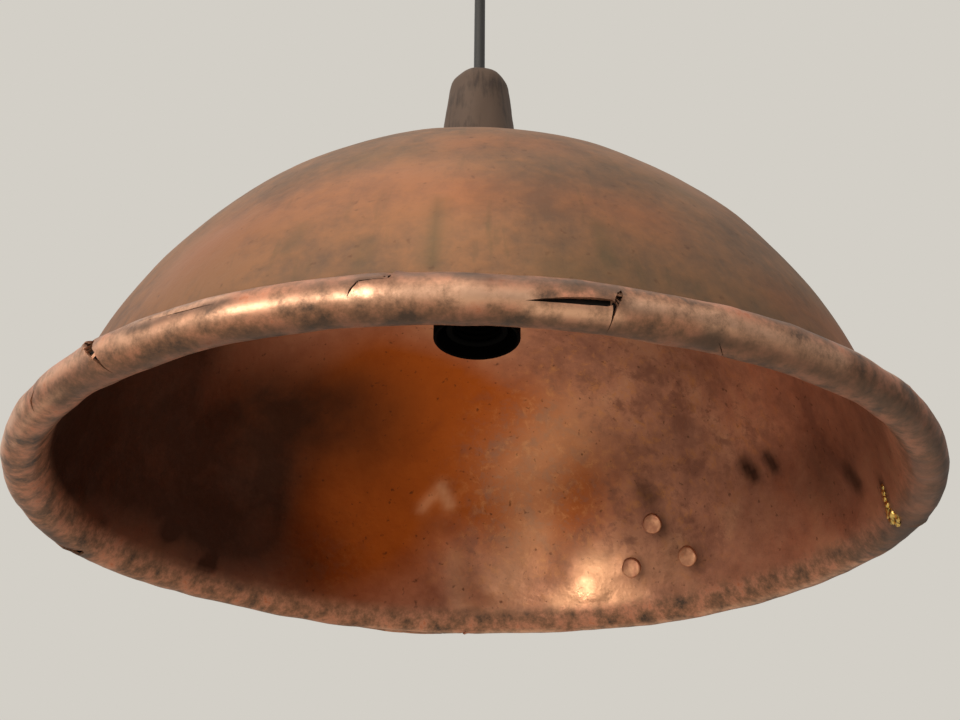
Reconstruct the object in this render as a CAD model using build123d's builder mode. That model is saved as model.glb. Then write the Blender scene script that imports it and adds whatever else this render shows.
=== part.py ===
"""Pendant lamp made from an old copper kettle bowl, hung from the ceiling on a black cord.

Millimetres. The origin is the centre of the mounting bar's top face, in the ceiling plane.
+Z is up, so the whole lamp lies at negative Z. -Y is the front and +X the right-hand side.
"""

from build123d import *
import os
from math import cos, degrees, radians, sin, tan

# ---------------------------------------------------------------- driving dimensions (mm)
drop = 460.0                 # ceiling plane to the plane of the bowl's rim

# the bowl: beaten copper sheet, its edge rolled outwards over an iron rod
sheet = 1.2
rim_radius = 205.0           # to the centre of the rolled edge
roll_radius = 7.9            # outside of the rolled edge
bowl_height = 171.0          # rim plane to the middle of the crown's sheet
crown_radius = 32.0          # flat seat at the top
shoulder_angle = 36.0        # degrees, where the shoulder's curve meets the wall's
wall_lean = 8.5              # degrees from upright at the foot of the wall
flare_radius = 33.0
flare_angle = 30.0           # degrees from upright where the flare meets the roll
roll_end_angle = 158.0       # degrees round the roll where the sheet's free edge stops
rod_clearance = 0.5

# splits in the rolled edge: degrees round from the front towards +X, and gap
rim_splits = [(-37.0, 3.0), (-8.0, 1.0), (11.3, 1.6)]

# three rivets of a lost handle's ear: degrees round from the back towards +X, and height
rivet_places = [(38.0, 50.0), (31.9, 26.0), (43.9, 26.5)]
rivet_head_radius = 6.8
rivet_head_height = 1.3
rivet_tail_radius = 5.5
rivet_shank_radius = 3.0

# brazed repair on the inside of the rim, on the right-hand side
braze_azimuth = 83.0         # degrees round from the front towards +X
braze_width = 14.0
braze_thickness = 0.9

# fittings at the crown
tube_radius = 5.0            # M10 hollow threaded tube
tube_bore = 3.8
thread_clearance = 0.05
tube_in_holder = 9.0
tube_above_nut = 12.0
washer_radius = 20.0
washer_thickness = 1.5
nut_flats = 14.0
nut_thickness = 4.0

# E27 lampholder, moulded in black, with its thread moulded in the sleeve
holder_length = 62.4
skirt_radius = 23.6
skirt_wall = 2.0
skirt_length = 40.0
dome_rim = 4.0               # straight band of the dome above the skirt
dome_rim_inside = 2.5
dome_fillet = 3.0
neck_wall = 3.0              # round the hollow tube
neck_length = 9.0
socket_bore = 13.2
socket_length = 20.0
contact_room = 1.3           # the bore above the thread is this much wider in radius
sleeve_recess = 5.0          # mouth of the skirt to the mouth of the sleeve
sleeve_wall = 3.4
holder_clearance = 0.3
block_thickness = 9.0        # of which the lower third is room for the contacts' roots
contact_thickness = 0.6
contact_width = 5.0
centre_contact_reach = 4.0   # down from the contact block
centre_contact_half = 7.0
side_contact_reach = 5.0
side_contact_foot = 4.0
terminal_spread = 9.0        # axis to each of the holder's terminals
terminal_screw_radius = 1.8
terminal_screw_length = 4.0
terminal_head_height = 2.0

# cord, its cores and the grip above the crown
cord_radius = 3.5
core_radius = 1.1
core_spread = 1.3            # axis of the cord to the axis of a core
core_bend = 1.5
core_straight = 3.5          # straight end of a core at its terminal
cord_gap = 1.0               # end of the sheath to the hollow tube
grip_wall = 5.0              # round the cord
grip_length = 24.0
grip_fillet = 1.5
grip_clearance = 0.05
grip_screw_radius = 2.0
grip_screw_length = 6.0

# loose cap that stands on the crown and hides the grip
cap_height = 118.0
cap_base_radius = 29.0
cap_top_radius = 17.4
cap_shoulder = 11.0
cap_wall = 1.5
bush_wall = 1.7
bush_lip = 1.5
bush_lip_height = 1.0
bush_depth = 6.0
bush_taper = 1.0
bush_clearance = 0.3

# ceiling cup with its bar, gland and terminal block
cup_radius = 45.0
cup_wall_height = 12.0
cup_height = 52.0
cup_bottom_radius = 15.0
cup_wall = 1.5
bar_width = 16.0
bar_thickness = 1.6
bar_end_gap = 0.4            # bar's turned-down ends to the inside of the cup
bar_end_depth = 10.0
slot_spacing = 54.0
slot_length = 10.0
slot_radius = 2.25
side_screw_radius = 1.5
side_screw_head = 2.8
side_screw_length = 6.0
side_screw_drop = 6.0
gland_wall = 2.45            # round the cord, inside the ceiling cup
gland_flange_width = 4.0     # beyond that wall
gland_flange = 4.0
gland_boss_width = 2.0       # beyond that wall
gland_boss = 5.0
gland_inside = 9.0
gland_nut_width = 2.5        # flats beyond the gland's thread
gland_nut_height = 4.0
gland_screw_radius = 1.5
screw_gap = 0.4              # points of the clamping screws to the cord
cord_past_gland = 4.0

# rubber strain relief under the gland, and the two pivots that stand in for the cord's bending
boot_length = 25.0
boot_top_wall = 3.5
boot_end_wall = 1.3
swing_angle = 25.0           # degrees each way, about each pivot
pivot_clearance = 1.0

# terminal block in the ceiling cup
block_length = 22.0
block_width = 10.0
block_height = 15.0
block_drop = 5.0
block_pitch = 10.0           # between the two brass tubes
block_tube_radius = 2.2
block_tube_bore = 1.3
block_screw_radius = 1.2
block_screw_offset = 3.8     # from the middle of the block up and down to its screws

# ---------------------------------------------------------------- sizes that follow
neck_radius = tube_radius + neck_wall
cord_hole = cord_radius + grip_clearance
tube_hole = tube_radius + thread_clearance
grip_radius = cord_radius + grip_wall
bush_radius = cord_radius + bush_clearance + bush_wall
gland_radius = cord_hole + gland_wall
gland_flange_radius = gland_radius + gland_flange_width
gland_boss_radius = gland_radius + gland_boss_width
gland_nut_flats = 2 * (gland_radius + gland_nut_width)
boot_top_radius = cord_radius + boot_top_wall
boot_end_radius = cord_radius + boot_end_wall
half_swing = tan(radians(swing_angle / 2))
upper_pivot_gap = 2 * boot_top_radius * half_swing + pivot_clearance
lower_pivot_gap = 2 * cord_radius * half_swing + pivot_clearance

# ---------------------------------------------------------------- heights that follow
rim_z = -drop
crown_mid = rim_z + bowl_height
crown_top = crown_mid + sheet / 2
crown_under = crown_mid - sheet / 2
lower_nut_top = crown_under - washer_thickness
holder_top = lower_nut_top - nut_thickness
mouth = holder_top - holder_length
skirt_top = mouth + skirt_length
neck_base = holder_top - neck_length
block_face = skirt_top - block_thickness
block_back = block_face + block_thickness * 2 / 3
upper_nut_top = crown_top + washer_thickness + nut_thickness
tube_top = upper_nut_top + tube_above_nut
grip_base = upper_nut_top + nut_thickness / 2
grip_top = grip_base + grip_length
cord_bottom = tube_top + cord_gap
cap_top = crown_top + cap_height
cup_bottom = -cup_height
gland_bottom = cup_bottom - gland_flange - gland_boss
boot_top = gland_bottom - upper_pivot_gap
boot_bottom = boot_top - boot_length
cord_top = boot_bottom - lower_pivot_gap
block_top = -block_drop
block_bottom = block_top - block_height
cup_cord_top = cup_bottom + cup_wall + gland_inside + cord_past_gland
upper_pivot = gland_bottom - upper_pivot_gap / 2
lower_pivot = cord_top + lower_pivot_gap / 2
print(f"upper pivot {upper_pivot:.2f}, lower pivot {lower_pivot:.2f}")

# ---------------------------------------------------------------- the bowl's line
# Going down from the crown, the middle of the sheet is five tangent arcs and lines: the flat
# crown, the shoulder, the wall, the flare and the roll. The shoulder's and the wall's radii
# are the two that make them meet.
roll_mid = roll_radius - sheet / 2


def cs(degrees):
    """Unit vector at this angle above the horizontal."""
    return Vector(cos(radians(degrees)), sin(radians(degrees)))


roll_centre = Vector(rim_radius, rim_z)
roll_start = roll_centre - roll_mid * cs(flare_angle)
flare_start = roll_start - flare_radius * (cs(wall_lean) - cs(flare_angle))
crown_edge = Vector(crown_radius, crown_mid)

gap = flare_start - crown_edge
shoulder_move = cs(shoulder_angle) - cs(90)
wall_move = cs(wall_lean) - cs(shoulder_angle)
determinant = shoulder_move.X * wall_move.Y - shoulder_move.Y * wall_move.X
shoulder_radius = (gap.X * wall_move.Y - gap.Y * wall_move.X) / determinant
wall_radius = (shoulder_move.X * gap.Y - shoulder_move.Y * gap.X) / determinant

shoulder_centre = crown_edge - Vector(0, shoulder_radius)
wall_centre = flare_start - wall_radius * cs(wall_lean)
flare_centre = roll_start + flare_radius * cs(flare_angle)
print(f"shoulder radius {shoulder_radius:.1f}, wall radius {wall_radius:.1f}")


def sheet_line(side):
    """Draw the sheet's outer (side = 1) or inner (side = -1) line, from the crown to the roll."""
    step = side * sheet / 2
    Line((tube_hole, crown_mid + step), (crown_radius, crown_mid + step))
    CenterArc(shoulder_centre, shoulder_radius + step, 90, shoulder_angle - 90)
    CenterArc(wall_centre, wall_radius + step, shoulder_angle, wall_lean - shoulder_angle)
    CenterArc(flare_centre, flare_radius - step, 180 + wall_lean, flare_angle - wall_lean)
    CenterArc(roll_centre, roll_mid - step, 180 + flare_angle, 180 + roll_end_angle - flare_angle)


def wall_inside(height):
    """Inner radius of the bowl's wall at this height above the rim plane."""
    rise = rim_z + height - wall_centre.Y
    return wall_centre.X + ((wall_radius - sheet / 2) ** 2 - rise**2) ** 0.5


def profile(*points):
    """A closed outline in the current line builder."""
    Polyline(*points, close=True)


def ring(low, high, outer, inner):
    """Add a plain ring between two heights to the current part."""
    with BuildSketch(Plane.XY.offset(low)) as outline:
        Circle(outer)
        Circle(inner, mode=Mode.SUBTRACT)
    extrude(outline.sketch, amount=high - low)


def hexagon_nut(low, thickness, flats, bore):
    """Add a hexagon nut with its lower face at this height to the current part."""
    with BuildSketch(Plane.XY.offset(low)) as outline:
        RegularPolygon(flats / 2, 6, major_radius=False)
        Circle(bore, mode=Mode.SUBTRACT)
    extrude(outline.sketch, amount=thickness)


# ---------------------------------------------------------------- bowl, rod, rivets and braze
rivet_planes = []
for azimuth, height in rivet_places:
    turn = radians(azimuth)
    outward = Vector(sin(turn), cos(turn), 0)
    lean = (rim_z + height - wall_centre.Y) / (wall_radius - sheet / 2)
    normal = outward * (1 - lean**2) ** 0.5 + Vector(0, 0, lean)
    seat = outward * wall_inside(height) + Vector(0, 0, rim_z + height)
    rivet_planes.append(Plane(origin=seat, z_dir=-normal))

with BuildPart() as copper_bowl:
    with BuildSketch(Plane.XZ):
        with BuildLine():
            sheet_line(1)
            sheet_line(-1)
            Line((tube_hole, crown_under), (tube_hole, crown_top))
            Line(roll_centre + (roll_mid - sheet / 2) * cs(roll_end_angle),
                 roll_centre + (roll_mid + sheet / 2) * cs(roll_end_angle))
        make_face()
    revolve(axis=Axis.Z)
    for place in rivet_planes:
        with BuildSketch(place.offset(-2 * sheet)):
            Circle(rivet_shank_radius + thread_clearance)
        extrude(amount=4 * sheet, mode=Mode.SUBTRACT)
    for azimuth, width in rim_splits:
        turn = radians(azimuth)
        across = Vector(sin(turn), -cos(turn), 0)
        split_plane = Plane(origin=across * (rim_radius + 2) + Vector(0, 0, rim_z), x_dir=across,
                            z_dir=(0, 0, 1))
        with BuildSketch(split_plane):
            Rectangle(2 * roll_radius, width)
        extrude(amount=2 * roll_radius, mode=Mode.SUBTRACT)

with BuildPart() as rim_rod:
    with BuildSketch(Plane.XZ):
        with Locations(roll_centre):
            Circle(roll_radius - sheet - rod_clearance)
    revolve(axis=Axis.Z)

with BuildPart() as ear_rivets:
    for place in rivet_planes:
        with BuildSketch(Plane(origin=place.origin, x_dir=place.x_dir, z_dir=-place.y_dir)):
            with BuildLine():
                Polyline((0, -sheet - rivet_head_height),
                         (rivet_tail_radius * 0.6, -sheet - rivet_head_height),
                         (rivet_tail_radius, -sheet), (rivet_shank_radius, -sheet),
                         (rivet_shank_radius, 0), (rivet_head_radius, 0),
                         (rivet_head_radius, rivet_head_height * 0.5))
                Spline((rivet_head_radius, rivet_head_height * 0.5),
                       (rivet_head_radius * 0.75, rivet_head_height * 0.95), (0, rivet_head_height))
                Line((0, rivet_head_height), (0, -sheet - rivet_head_height))
            make_face()
        revolve(axis=Axis(place.origin, place.z_dir))
    add(copper_bowl.part, mode=Mode.SUBTRACT)

with BuildPart() as braze_repair:
    half_turn = degrees(braze_width / 2 / rim_radius)
    with BuildSketch(Plane.XZ.rotated((0, 0, braze_azimuth - 90 - half_turn))):
        with BuildLine():
            inner = flare_radius + sheet / 2
            CenterArc(flare_centre, inner, 180 + wall_lean, flare_angle - wall_lean)
            CenterArc(flare_centre, inner + braze_thickness, 180 + wall_lean, flare_angle - wall_lean)
            for angle in (wall_lean, flare_angle):
                Line(flare_centre - inner * cs(angle), flare_centre - (inner + braze_thickness) * cs(angle))
        make_face()
    revolve(axis=Axis.Z, revolution_arc=2 * half_turn)

# ---------------------------------------------------------------- fittings at the crown
with BuildPart() as hollow_tube:
    ring(holder_top - tube_in_holder, tube_top, tube_radius, tube_bore)

with BuildPart() as crown_washers:
    ring(lower_nut_top, crown_under, washer_radius, tube_hole)
    ring(crown_top, crown_top + washer_thickness, washer_radius, tube_hole)
    outer_edges = edges().filter_by(GeomType.CIRCLE).sort_by(SortBy.RADIUS)[-4:]
    chamfer(outer_edges, washer_thickness / 5)

with BuildPart() as tube_nuts:
    for low in (holder_top, crown_top + washer_thickness):
        hexagon_nut(low, nut_thickness, nut_flats, tube_hole)

# ---------------------------------------------------------------- lampholder
with BuildPart() as holder_skirt:
    ring(mouth, skirt_top, skirt_radius, skirt_radius - skirt_wall)
    fillet(edges().sort_by(Axis.Z)[:2], skirt_wall / 3)

with BuildPart() as holder_dome:
    with BuildSketch(Plane.XZ):
        with BuildLine():
            profile((skirt_radius, skirt_top), (skirt_radius, skirt_top + dome_rim),
                    (neck_radius, neck_base), (neck_radius, holder_top), (tube_hole, holder_top),
                    (tube_hole, neck_base - skirt_wall),
                    (skirt_radius - skirt_wall, skirt_top + dome_rim_inside),
                    (skirt_radius - skirt_wall, skirt_top))
        make_face()
    revolve(axis=Axis.Z)
    widest = edges().filter_by(GeomType.CIRCLE).group_by(SortBy.RADIUS)[-1]
    fillet(widest.sort_by(Axis.Z)[-1:], dome_fillet)

sleeve_low = mouth + sleeve_recess
sleeve_outer = skirt_radius - skirt_wall - holder_clearance
with BuildPart() as thread_sleeve:
    ring(sleeve_low, sleeve_low + socket_length, socket_bore + sleeve_wall, socket_bore)
    ring(sleeve_low + socket_length, block_face, sleeve_outer, socket_bore + contact_room)

terminal_places = [(-terminal_spread, 0), (terminal_spread, 0)]
with BuildPart() as contact_block:
    ring(block_face, block_back, sleeve_outer, core_radius)
    with BuildSketch(Plane.XY.offset(block_face)):
        with Locations(*terminal_places):
            Circle(terminal_screw_radius + thread_clearance)
    extrude(amount=block_thickness, mode=Mode.SUBTRACT)

with BuildPart() as centre_contact:
    with BuildSketch(Plane.XZ):
        with BuildLine():
            tip = block_face - centre_contact_reach
            profile((0, tip), (contact_width / 2, tip),
                    (centre_contact_half, block_face - contact_thickness),
                    (centre_contact_half, block_face),
                    (centre_contact_half - contact_thickness, block_face),
                    (contact_width / 2 - contact_thickness / 2, tip + contact_thickness),
                    (0, tip + contact_thickness))
        make_face()
    extrude(amount=contact_width / 2, both=True)

with BuildPart() as side_contact:
    with BuildSketch(Plane.XZ):
        with BuildLine():
            back = contact_thickness - socket_bore
            front = back + 2 * contact_thickness
            tip = block_face - side_contact_reach
            profile((back, block_face), (back, tip + contact_thickness), (front, tip),
                    (front - contact_thickness, block_face - contact_thickness),
                    (back + side_contact_foot, block_face - contact_thickness),
                    (back + side_contact_foot, block_face))
        make_face()
    extrude(amount=contact_width / 2, both=True)

with BuildPart() as holder_terminals:
    with BuildSketch(Plane.XY.offset(block_back)):
        with Locations(*terminal_places):
            Circle(terminal_screw_radius)
    extrude(amount=-terminal_screw_length)
    with BuildSketch(Plane.XY.offset(block_back)):
        with Locations(*terminal_places):
            Circle(terminal_screw_radius * 1.6)
    extrude(amount=terminal_head_height)


def core_wire(*route):
    """Sweep an insulated core along this route in the current part."""
    with BuildLine() as path:
        FilletPolyline(*route, radius=core_bend)
    with BuildSketch(Plane(origin=path.line @ 0, z_dir=path.line % 0)) as section:
        Circle(core_radius)
    sweep(section.sketch, path=path.line)


core_low = block_back + terminal_head_height
core_turn = neck_base - skirt_wall - 2 * core_spread
core_builders = {}
for name, side in (("live_core", 1), ("neutral_core", -1)):
    with BuildPart() as core:
        core_wire((side * core_spread, 0, cord_bottom), (side * core_spread, 0, core_turn),
                  (side * terminal_spread, 0, core_low + core_straight),
                  (side * terminal_spread, 0, core_low))
    core_builders[name] = core

# ---------------------------------------------------------------- cord and cord grip
with BuildPart() as suspension_cord:
    with BuildSketch(Plane.XY.offset(cord_bottom)):
        Circle(cord_radius)
    extrude(amount=cord_top - cord_bottom)
print(f"free cord {cord_top - cord_bottom:.1f} long, straight")

grip_screw_z = grip_top - grip_length / 4
with BuildPart() as cord_grip:
    with BuildSketch(Plane.XY.offset(grip_base)):
        Circle(grip_radius)
    extrude(amount=grip_length)
    fillet(edges().sort_by(Axis.Z)[-1:], grip_fillet)
    with BuildSketch(Plane.XY.offset(grip_base)):
        Circle(tube_hole)
    extrude(amount=cord_bottom - grip_base, mode=Mode.SUBTRACT)
    with BuildSketch(Plane.XY.offset(grip_base)):
        Circle(cord_hole)
    extrude(amount=grip_length, mode=Mode.SUBTRACT)
    with BuildSketch(Plane(origin=(0, 0, grip_screw_z), x_dir=(0, 1, 0), z_dir=(1, 0, 0))):
        Circle(grip_screw_radius + thread_clearance)
    extrude(amount=2 * grip_radius, mode=Mode.SUBTRACT)

with BuildPart() as grip_screw:
    point = Plane(origin=(cord_radius + screw_gap, 0, grip_screw_z), x_dir=(0, 1, 0), z_dir=(1, 0, 0))
    with BuildSketch(point):
        Circle(grip_screw_radius)
    extrude(amount=grip_screw_length)
    with BuildSketch(point.offset(grip_screw_length)):
        Rectangle(3 * grip_screw_radius, grip_screw_radius / 3)
    extrude(amount=-grip_screw_radius / 2, mode=Mode.SUBTRACT)

# ---------------------------------------------------------------- cap and its bush
shoulder_z = cap_top - cap_shoulder
shoulder_outer = cap_top_radius + (cap_base_radius - cap_top_radius) * cap_shoulder / cap_height
cap_stages = [(crown_top, cap_base_radius - cap_wall), (shoulder_z, shoulder_outer - cap_wall),
              (cap_top - cap_wall, bush_radius + bush_taper)]
with BuildPart() as top_cap:
    with BuildSketch(Plane.XY.offset(crown_top)):
        Circle(cap_base_radius)
    with BuildSketch(Plane.XY.offset(cap_top)):
        Circle(cap_top_radius)
    loft()
    fillet(edges().sort_by(Axis.Z)[-1:], cap_shoulder)
    for (low, low_radius), (high, high_radius) in zip(cap_stages, cap_stages[1:]):
        with BuildSketch(Plane.XY.offset(low)):
            Circle(low_radius)
        with BuildSketch(Plane.XY.offset(high)):
            Circle(high_radius)
        loft(mode=Mode.SUBTRACT)
    with BuildSketch(Plane.XY.offset(cap_top - 2 * cap_wall)):
        Circle(bush_radius)
    extrude(amount=3 * cap_wall, mode=Mode.SUBTRACT)

with BuildPart() as cap_bush:
    with BuildSketch(Plane.XZ):
        with BuildLine():
            bore = cord_radius + bush_clearance
            bush_low = cap_top - bush_depth
            bush_top = cap_top + bush_lip_height
            profile((bore, bush_low), (bush_radius - bush_taper, bush_low),
                    (bush_radius, cap_top - cap_wall), (bush_radius, cap_top),
                    (bush_radius + bush_lip, cap_top), (bush_radius, bush_top), (bore, bush_top))
        make_face()
    revolve(axis=Axis.Z)

# ---------------------------------------------------------------- ceiling cup, bar and gland
cup_inside = cup_radius - cup_wall
with BuildPart() as canopy_cup:
    with BuildSketch(Plane.XZ):
        with BuildLine():
            hole = gland_radius + thread_clearance
            profile((cup_radius, 0), (cup_radius, -cup_wall_height), (cup_bottom_radius, cup_bottom),
                    (hole, cup_bottom), (hole, cup_bottom + cup_wall),
                    (cup_bottom_radius - 1, cup_bottom + cup_wall),
                    (cup_inside, -cup_wall_height + cup_wall / 2), (cup_inside, 0))
        make_face()
    revolve(axis=Axis.Z)
    round_edges = edges().filter_by(GeomType.CIRCLE)
    fillet(round_edges.group_by(SortBy.RADIUS)[-1].sort_by(Axis.Z)[:1], cup_wall)
    with BuildSketch(Plane(origin=(0, 0, -side_screw_drop), x_dir=(0, 1, 0), z_dir=(1, 0, 0))):
        Circle(side_screw_radius + thread_clearance)
    extrude(amount=cup_radius, both=True, mode=Mode.SUBTRACT)

bar_half = ((cup_inside - bar_end_gap) ** 2 - (bar_width / 2) ** 2) ** 0.5
with BuildPart() as mounting_bar:
    with BuildSketch(Plane.XZ):
        with BuildLine():
            profile((-bar_half, 0), (bar_half, 0), (bar_half, -bar_end_depth),
                    (bar_half - bar_thickness, -bar_end_depth), (bar_half - bar_thickness, -bar_thickness),
                    (bar_thickness - bar_half, -bar_thickness),
                    (bar_thickness - bar_half, -bar_end_depth), (-bar_half, -bar_end_depth))
        make_face()
    extrude(amount=bar_width / 2, both=True)
    with BuildSketch(Plane.XY):
        with Locations((-slot_spacing / 2, 0), (slot_spacing / 2, 0)):
            SlotOverall(slot_length, 2 * slot_radius)
    extrude(amount=-2 * bar_thickness, mode=Mode.SUBTRACT)
    with BuildSketch(Plane(origin=(0, 0, -side_screw_drop), x_dir=(0, 1, 0), z_dir=(1, 0, 0))):
        Circle(side_screw_radius + thread_clearance)
    extrude(amount=cup_radius, both=True, mode=Mode.SUBTRACT)

with BuildPart() as canopy_screws:
    for side in (1, -1):
        face = Plane(origin=(side * cup_radius, 0, -side_screw_drop), x_dir=(0, 1, 0), z_dir=(side, 0, 0))
        with BuildSketch(face):
            Circle(side_screw_radius)
        extrude(amount=-side_screw_length)
        with BuildSketch(face):
            Circle(side_screw_head)
        extrude(amount=side_screw_radius)
        with BuildSketch(face.offset(side_screw_radius)):
            Rectangle(2.4 * side_screw_head, side_screw_head / 4)
        extrude(amount=-side_screw_radius / 2, mode=Mode.SUBTRACT)

gland_top = cup_bottom + cup_wall + gland_inside
gland_screw_z = gland_bottom + gland_boss / 2
with BuildPart() as cord_gland:
    ring(gland_bottom, cup_bottom - gland_flange, gland_boss_radius, cord_hole)
    ring(cup_bottom - gland_flange, cup_bottom, gland_flange_radius, cord_hole)
    ring(cup_bottom, gland_top, gland_radius, cord_hole)
    with BuildSketch(Plane(origin=(0, 0, gland_screw_z), x_dir=(1, 0, 0), z_dir=(0, -1, 0))):
        Circle(gland_screw_radius + thread_clearance)
    extrude(amount=-2 * gland_boss_radius, mode=Mode.SUBTRACT)

with BuildPart() as gland_nut:
    hexagon_nut(cup_bottom + cup_wall, gland_nut_height, gland_nut_flats, gland_radius + thread_clearance)

with BuildPart() as gland_screw:
    with BuildSketch(Plane(origin=(0, cord_radius + screw_gap, gland_screw_z), x_dir=(1, 0, 0),
                           z_dir=(0, 1, 0))):
        Circle(gland_screw_radius)
    extrude(amount=gland_boss_radius - cord_radius - screw_gap)

# ---------------------------------------------------------------- strain relief and upper cord
with BuildPart() as strain_relief_boot:
    with BuildSketch(Plane.XY.offset(boot_bottom)):
        Circle(boot_end_radius)
    with BuildSketch(Plane.XY.offset(boot_top)):
        Circle(boot_top_radius)
    loft()
    with BuildSketch(Plane.XY.offset(boot_bottom)):
        Circle(cord_hole)
    extrude(amount=boot_length, mode=Mode.SUBTRACT)

with BuildPart() as cord_in_boot:
    with BuildSketch(Plane.XY.offset(boot_bottom)):
        Circle(cord_radius)
    extrude(amount=boot_length)

with BuildPart() as cord_in_cup:
    with BuildSketch(Plane.XY.offset(gland_bottom)):
        Circle(cord_radius)
    extrude(amount=cup_cord_top - gland_bottom)

# ---------------------------------------------------------------- terminal block and its cores
block_middle = (block_top + block_bottom) / 2
tube_places = [(-block_pitch / 2, 0), (block_pitch / 2, 0)]
screw_places = [(x, z) for x, _ in tube_places
                for z in (block_middle - block_screw_offset, block_middle + block_screw_offset)]
with BuildPart() as terminal_block:
    with BuildSketch(Plane.XY.offset(block_bottom)):
        RectangleRounded(block_length, block_width, block_width / 6)
    extrude(amount=block_height)
    with BuildSketch(Plane.XY.offset(block_bottom)):
        with Locations(*tube_places):
            Circle(block_tube_radius + thread_clearance)
    extrude(amount=block_height, mode=Mode.SUBTRACT)
    with BuildSketch(Plane.XZ):
        with Locations(*screw_places):
            Circle(block_screw_radius + thread_clearance)
    extrude(amount=block_width, mode=Mode.SUBTRACT)

with BuildPart() as terminal_tubes:
    with BuildSketch(Plane.XY.offset(block_bottom + 1)):
        with Locations(*tube_places):
            Circle(block_tube_radius)
            Circle(block_tube_bore, mode=Mode.SUBTRACT)
    extrude(amount=block_height - 2)
    with BuildSketch(Plane.XZ):
        with Locations(*screw_places):
            Circle(block_screw_radius + thread_clearance)
    extrude(amount=block_width, mode=Mode.SUBTRACT)

with BuildPart() as terminal_screws:
    with BuildSketch(Plane.XZ.offset(block_tube_bore)):
        with Locations(*screw_places):
            Circle(block_screw_radius)
    extrude(amount=block_width / 2 - block_tube_bore - 0.5)

for name, side in (("cup_live_core", 1), ("cup_neutral_core", -1)):
    with BuildPart() as core:
        core_wire((side * core_spread, 0, cup_cord_top),
                  (side * core_spread, 0, cup_cord_top + core_straight),
                  (side * block_pitch / 2, 0, block_bottom - core_straight),
                  (side * block_pitch / 2, 0, block_middle))
    core_builders[name] = core

# ---------------------------------------------------------------- write every piece
pieces = {
    "copper_bowl": copper_bowl, "rim_rod": rim_rod, "ear_rivets": ear_rivets,
    "braze_repair": braze_repair, "hollow_tube": hollow_tube, "crown_washers": crown_washers,
    "tube_nuts": tube_nuts, "holder_dome": holder_dome, "holder_skirt": holder_skirt,
    "thread_sleeve": thread_sleeve, "contact_block": contact_block,
    "centre_contact": centre_contact, "side_contact": side_contact,
    "holder_terminals": holder_terminals, "suspension_cord": suspension_cord,
    "cord_grip": cord_grip, "grip_screw": grip_screw, "top_cap": top_cap, "cap_bush": cap_bush,
    "canopy_cup": canopy_cup, "mounting_bar": mounting_bar, "canopy_screws": canopy_screws,
    "cord_gland": cord_gland, "gland_nut": gland_nut, "gland_screw": gland_screw,
    "strain_relief_boot": strain_relief_boot, "cord_in_boot": cord_in_boot,
    "cord_in_cup": cord_in_cup, "terminal_block": terminal_block,
    "terminal_tubes": terminal_tubes, "terminal_screws": terminal_screws, **core_builders,
}
os.makedirs("parts", exist_ok=True)
for name, piece in pieces.items():
    piece.part.label = name
    export_step(piece.part, f"parts/{name}.step")
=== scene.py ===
"""Pendant lamp made from an old copper kettle bowl: its looks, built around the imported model.

Metres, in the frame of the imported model: +Z up, the front towards -Y, the ceiling at Z = 0.
Azimuths are degrees round the bowl from the front towards +X. Heights on the bowl are millimetres
above the plane of its rim, and angles round the rolled edge start at its outermost line and go up.
"""

from math import atan2, cos, hypot, pi, radians, sin, tan

import bmesh
import bpy
import numpy as np
from bpy.props import FloatProperty, FloatVectorProperty, IntProperty, PointerProperty
from bpy.types import Operator, Panel, PropertyGroup
from mathutils import Matrix, Vector, noise


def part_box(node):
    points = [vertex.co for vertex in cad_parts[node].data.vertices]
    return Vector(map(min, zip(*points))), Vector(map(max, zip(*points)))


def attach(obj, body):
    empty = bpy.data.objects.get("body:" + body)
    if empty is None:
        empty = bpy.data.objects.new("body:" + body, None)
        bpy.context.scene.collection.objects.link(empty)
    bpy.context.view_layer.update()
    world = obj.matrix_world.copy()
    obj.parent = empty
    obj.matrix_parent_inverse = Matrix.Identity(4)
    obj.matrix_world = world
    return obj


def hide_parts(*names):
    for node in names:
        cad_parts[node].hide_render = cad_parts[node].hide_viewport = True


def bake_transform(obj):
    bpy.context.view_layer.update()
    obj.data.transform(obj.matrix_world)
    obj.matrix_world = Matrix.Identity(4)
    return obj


bl_info = {
    "name": "Copper Kettle Lamp",
    "version": (1, 0, 0),
    "blender": (4, 5, 0),
    "location": "3D View > Sidebar > Kettle Lamp",
    "description": "Builds a pendant lamp made from an old beaten copper bowl",
    "category": "Add Mesh",
}

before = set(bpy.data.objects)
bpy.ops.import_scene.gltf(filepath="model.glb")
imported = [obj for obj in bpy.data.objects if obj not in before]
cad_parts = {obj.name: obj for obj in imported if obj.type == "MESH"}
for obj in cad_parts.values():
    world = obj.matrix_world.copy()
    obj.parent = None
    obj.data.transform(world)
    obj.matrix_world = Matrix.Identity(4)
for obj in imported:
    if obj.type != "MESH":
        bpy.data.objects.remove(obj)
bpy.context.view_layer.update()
MM = 0.001
WELD = 0.02 * MM  # corners of a cut that are closer than this are one
CLEARANCE = 0.05 * MM  # between a piece and what passes through it
ROD_ROOM = 1.1 * MM  # between the rod and the sheet rolled over it, for the knocks in the sheet

# ------------------------------------------------------------------ places taken from the frame
bowl_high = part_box("copper_bowl")[1]
rod_low, rod_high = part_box("rim_rod")
cap_low, cap_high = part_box("top_cap")
bush_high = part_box("cap_bush")[1]
cord_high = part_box("suspension_cord")[1]
boot_low, boot_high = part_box("strain_relief_boot")
cup_low, cup_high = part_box("canopy_cup")
gland_low, gland_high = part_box("cord_gland")
skirt_low, skirt_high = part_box("holder_skirt")
dome_low, dome_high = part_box("holder_dome")
sleeve_low, sleeve_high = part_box("thread_sleeve")
tube_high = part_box("hollow_tube")[1]

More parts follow.
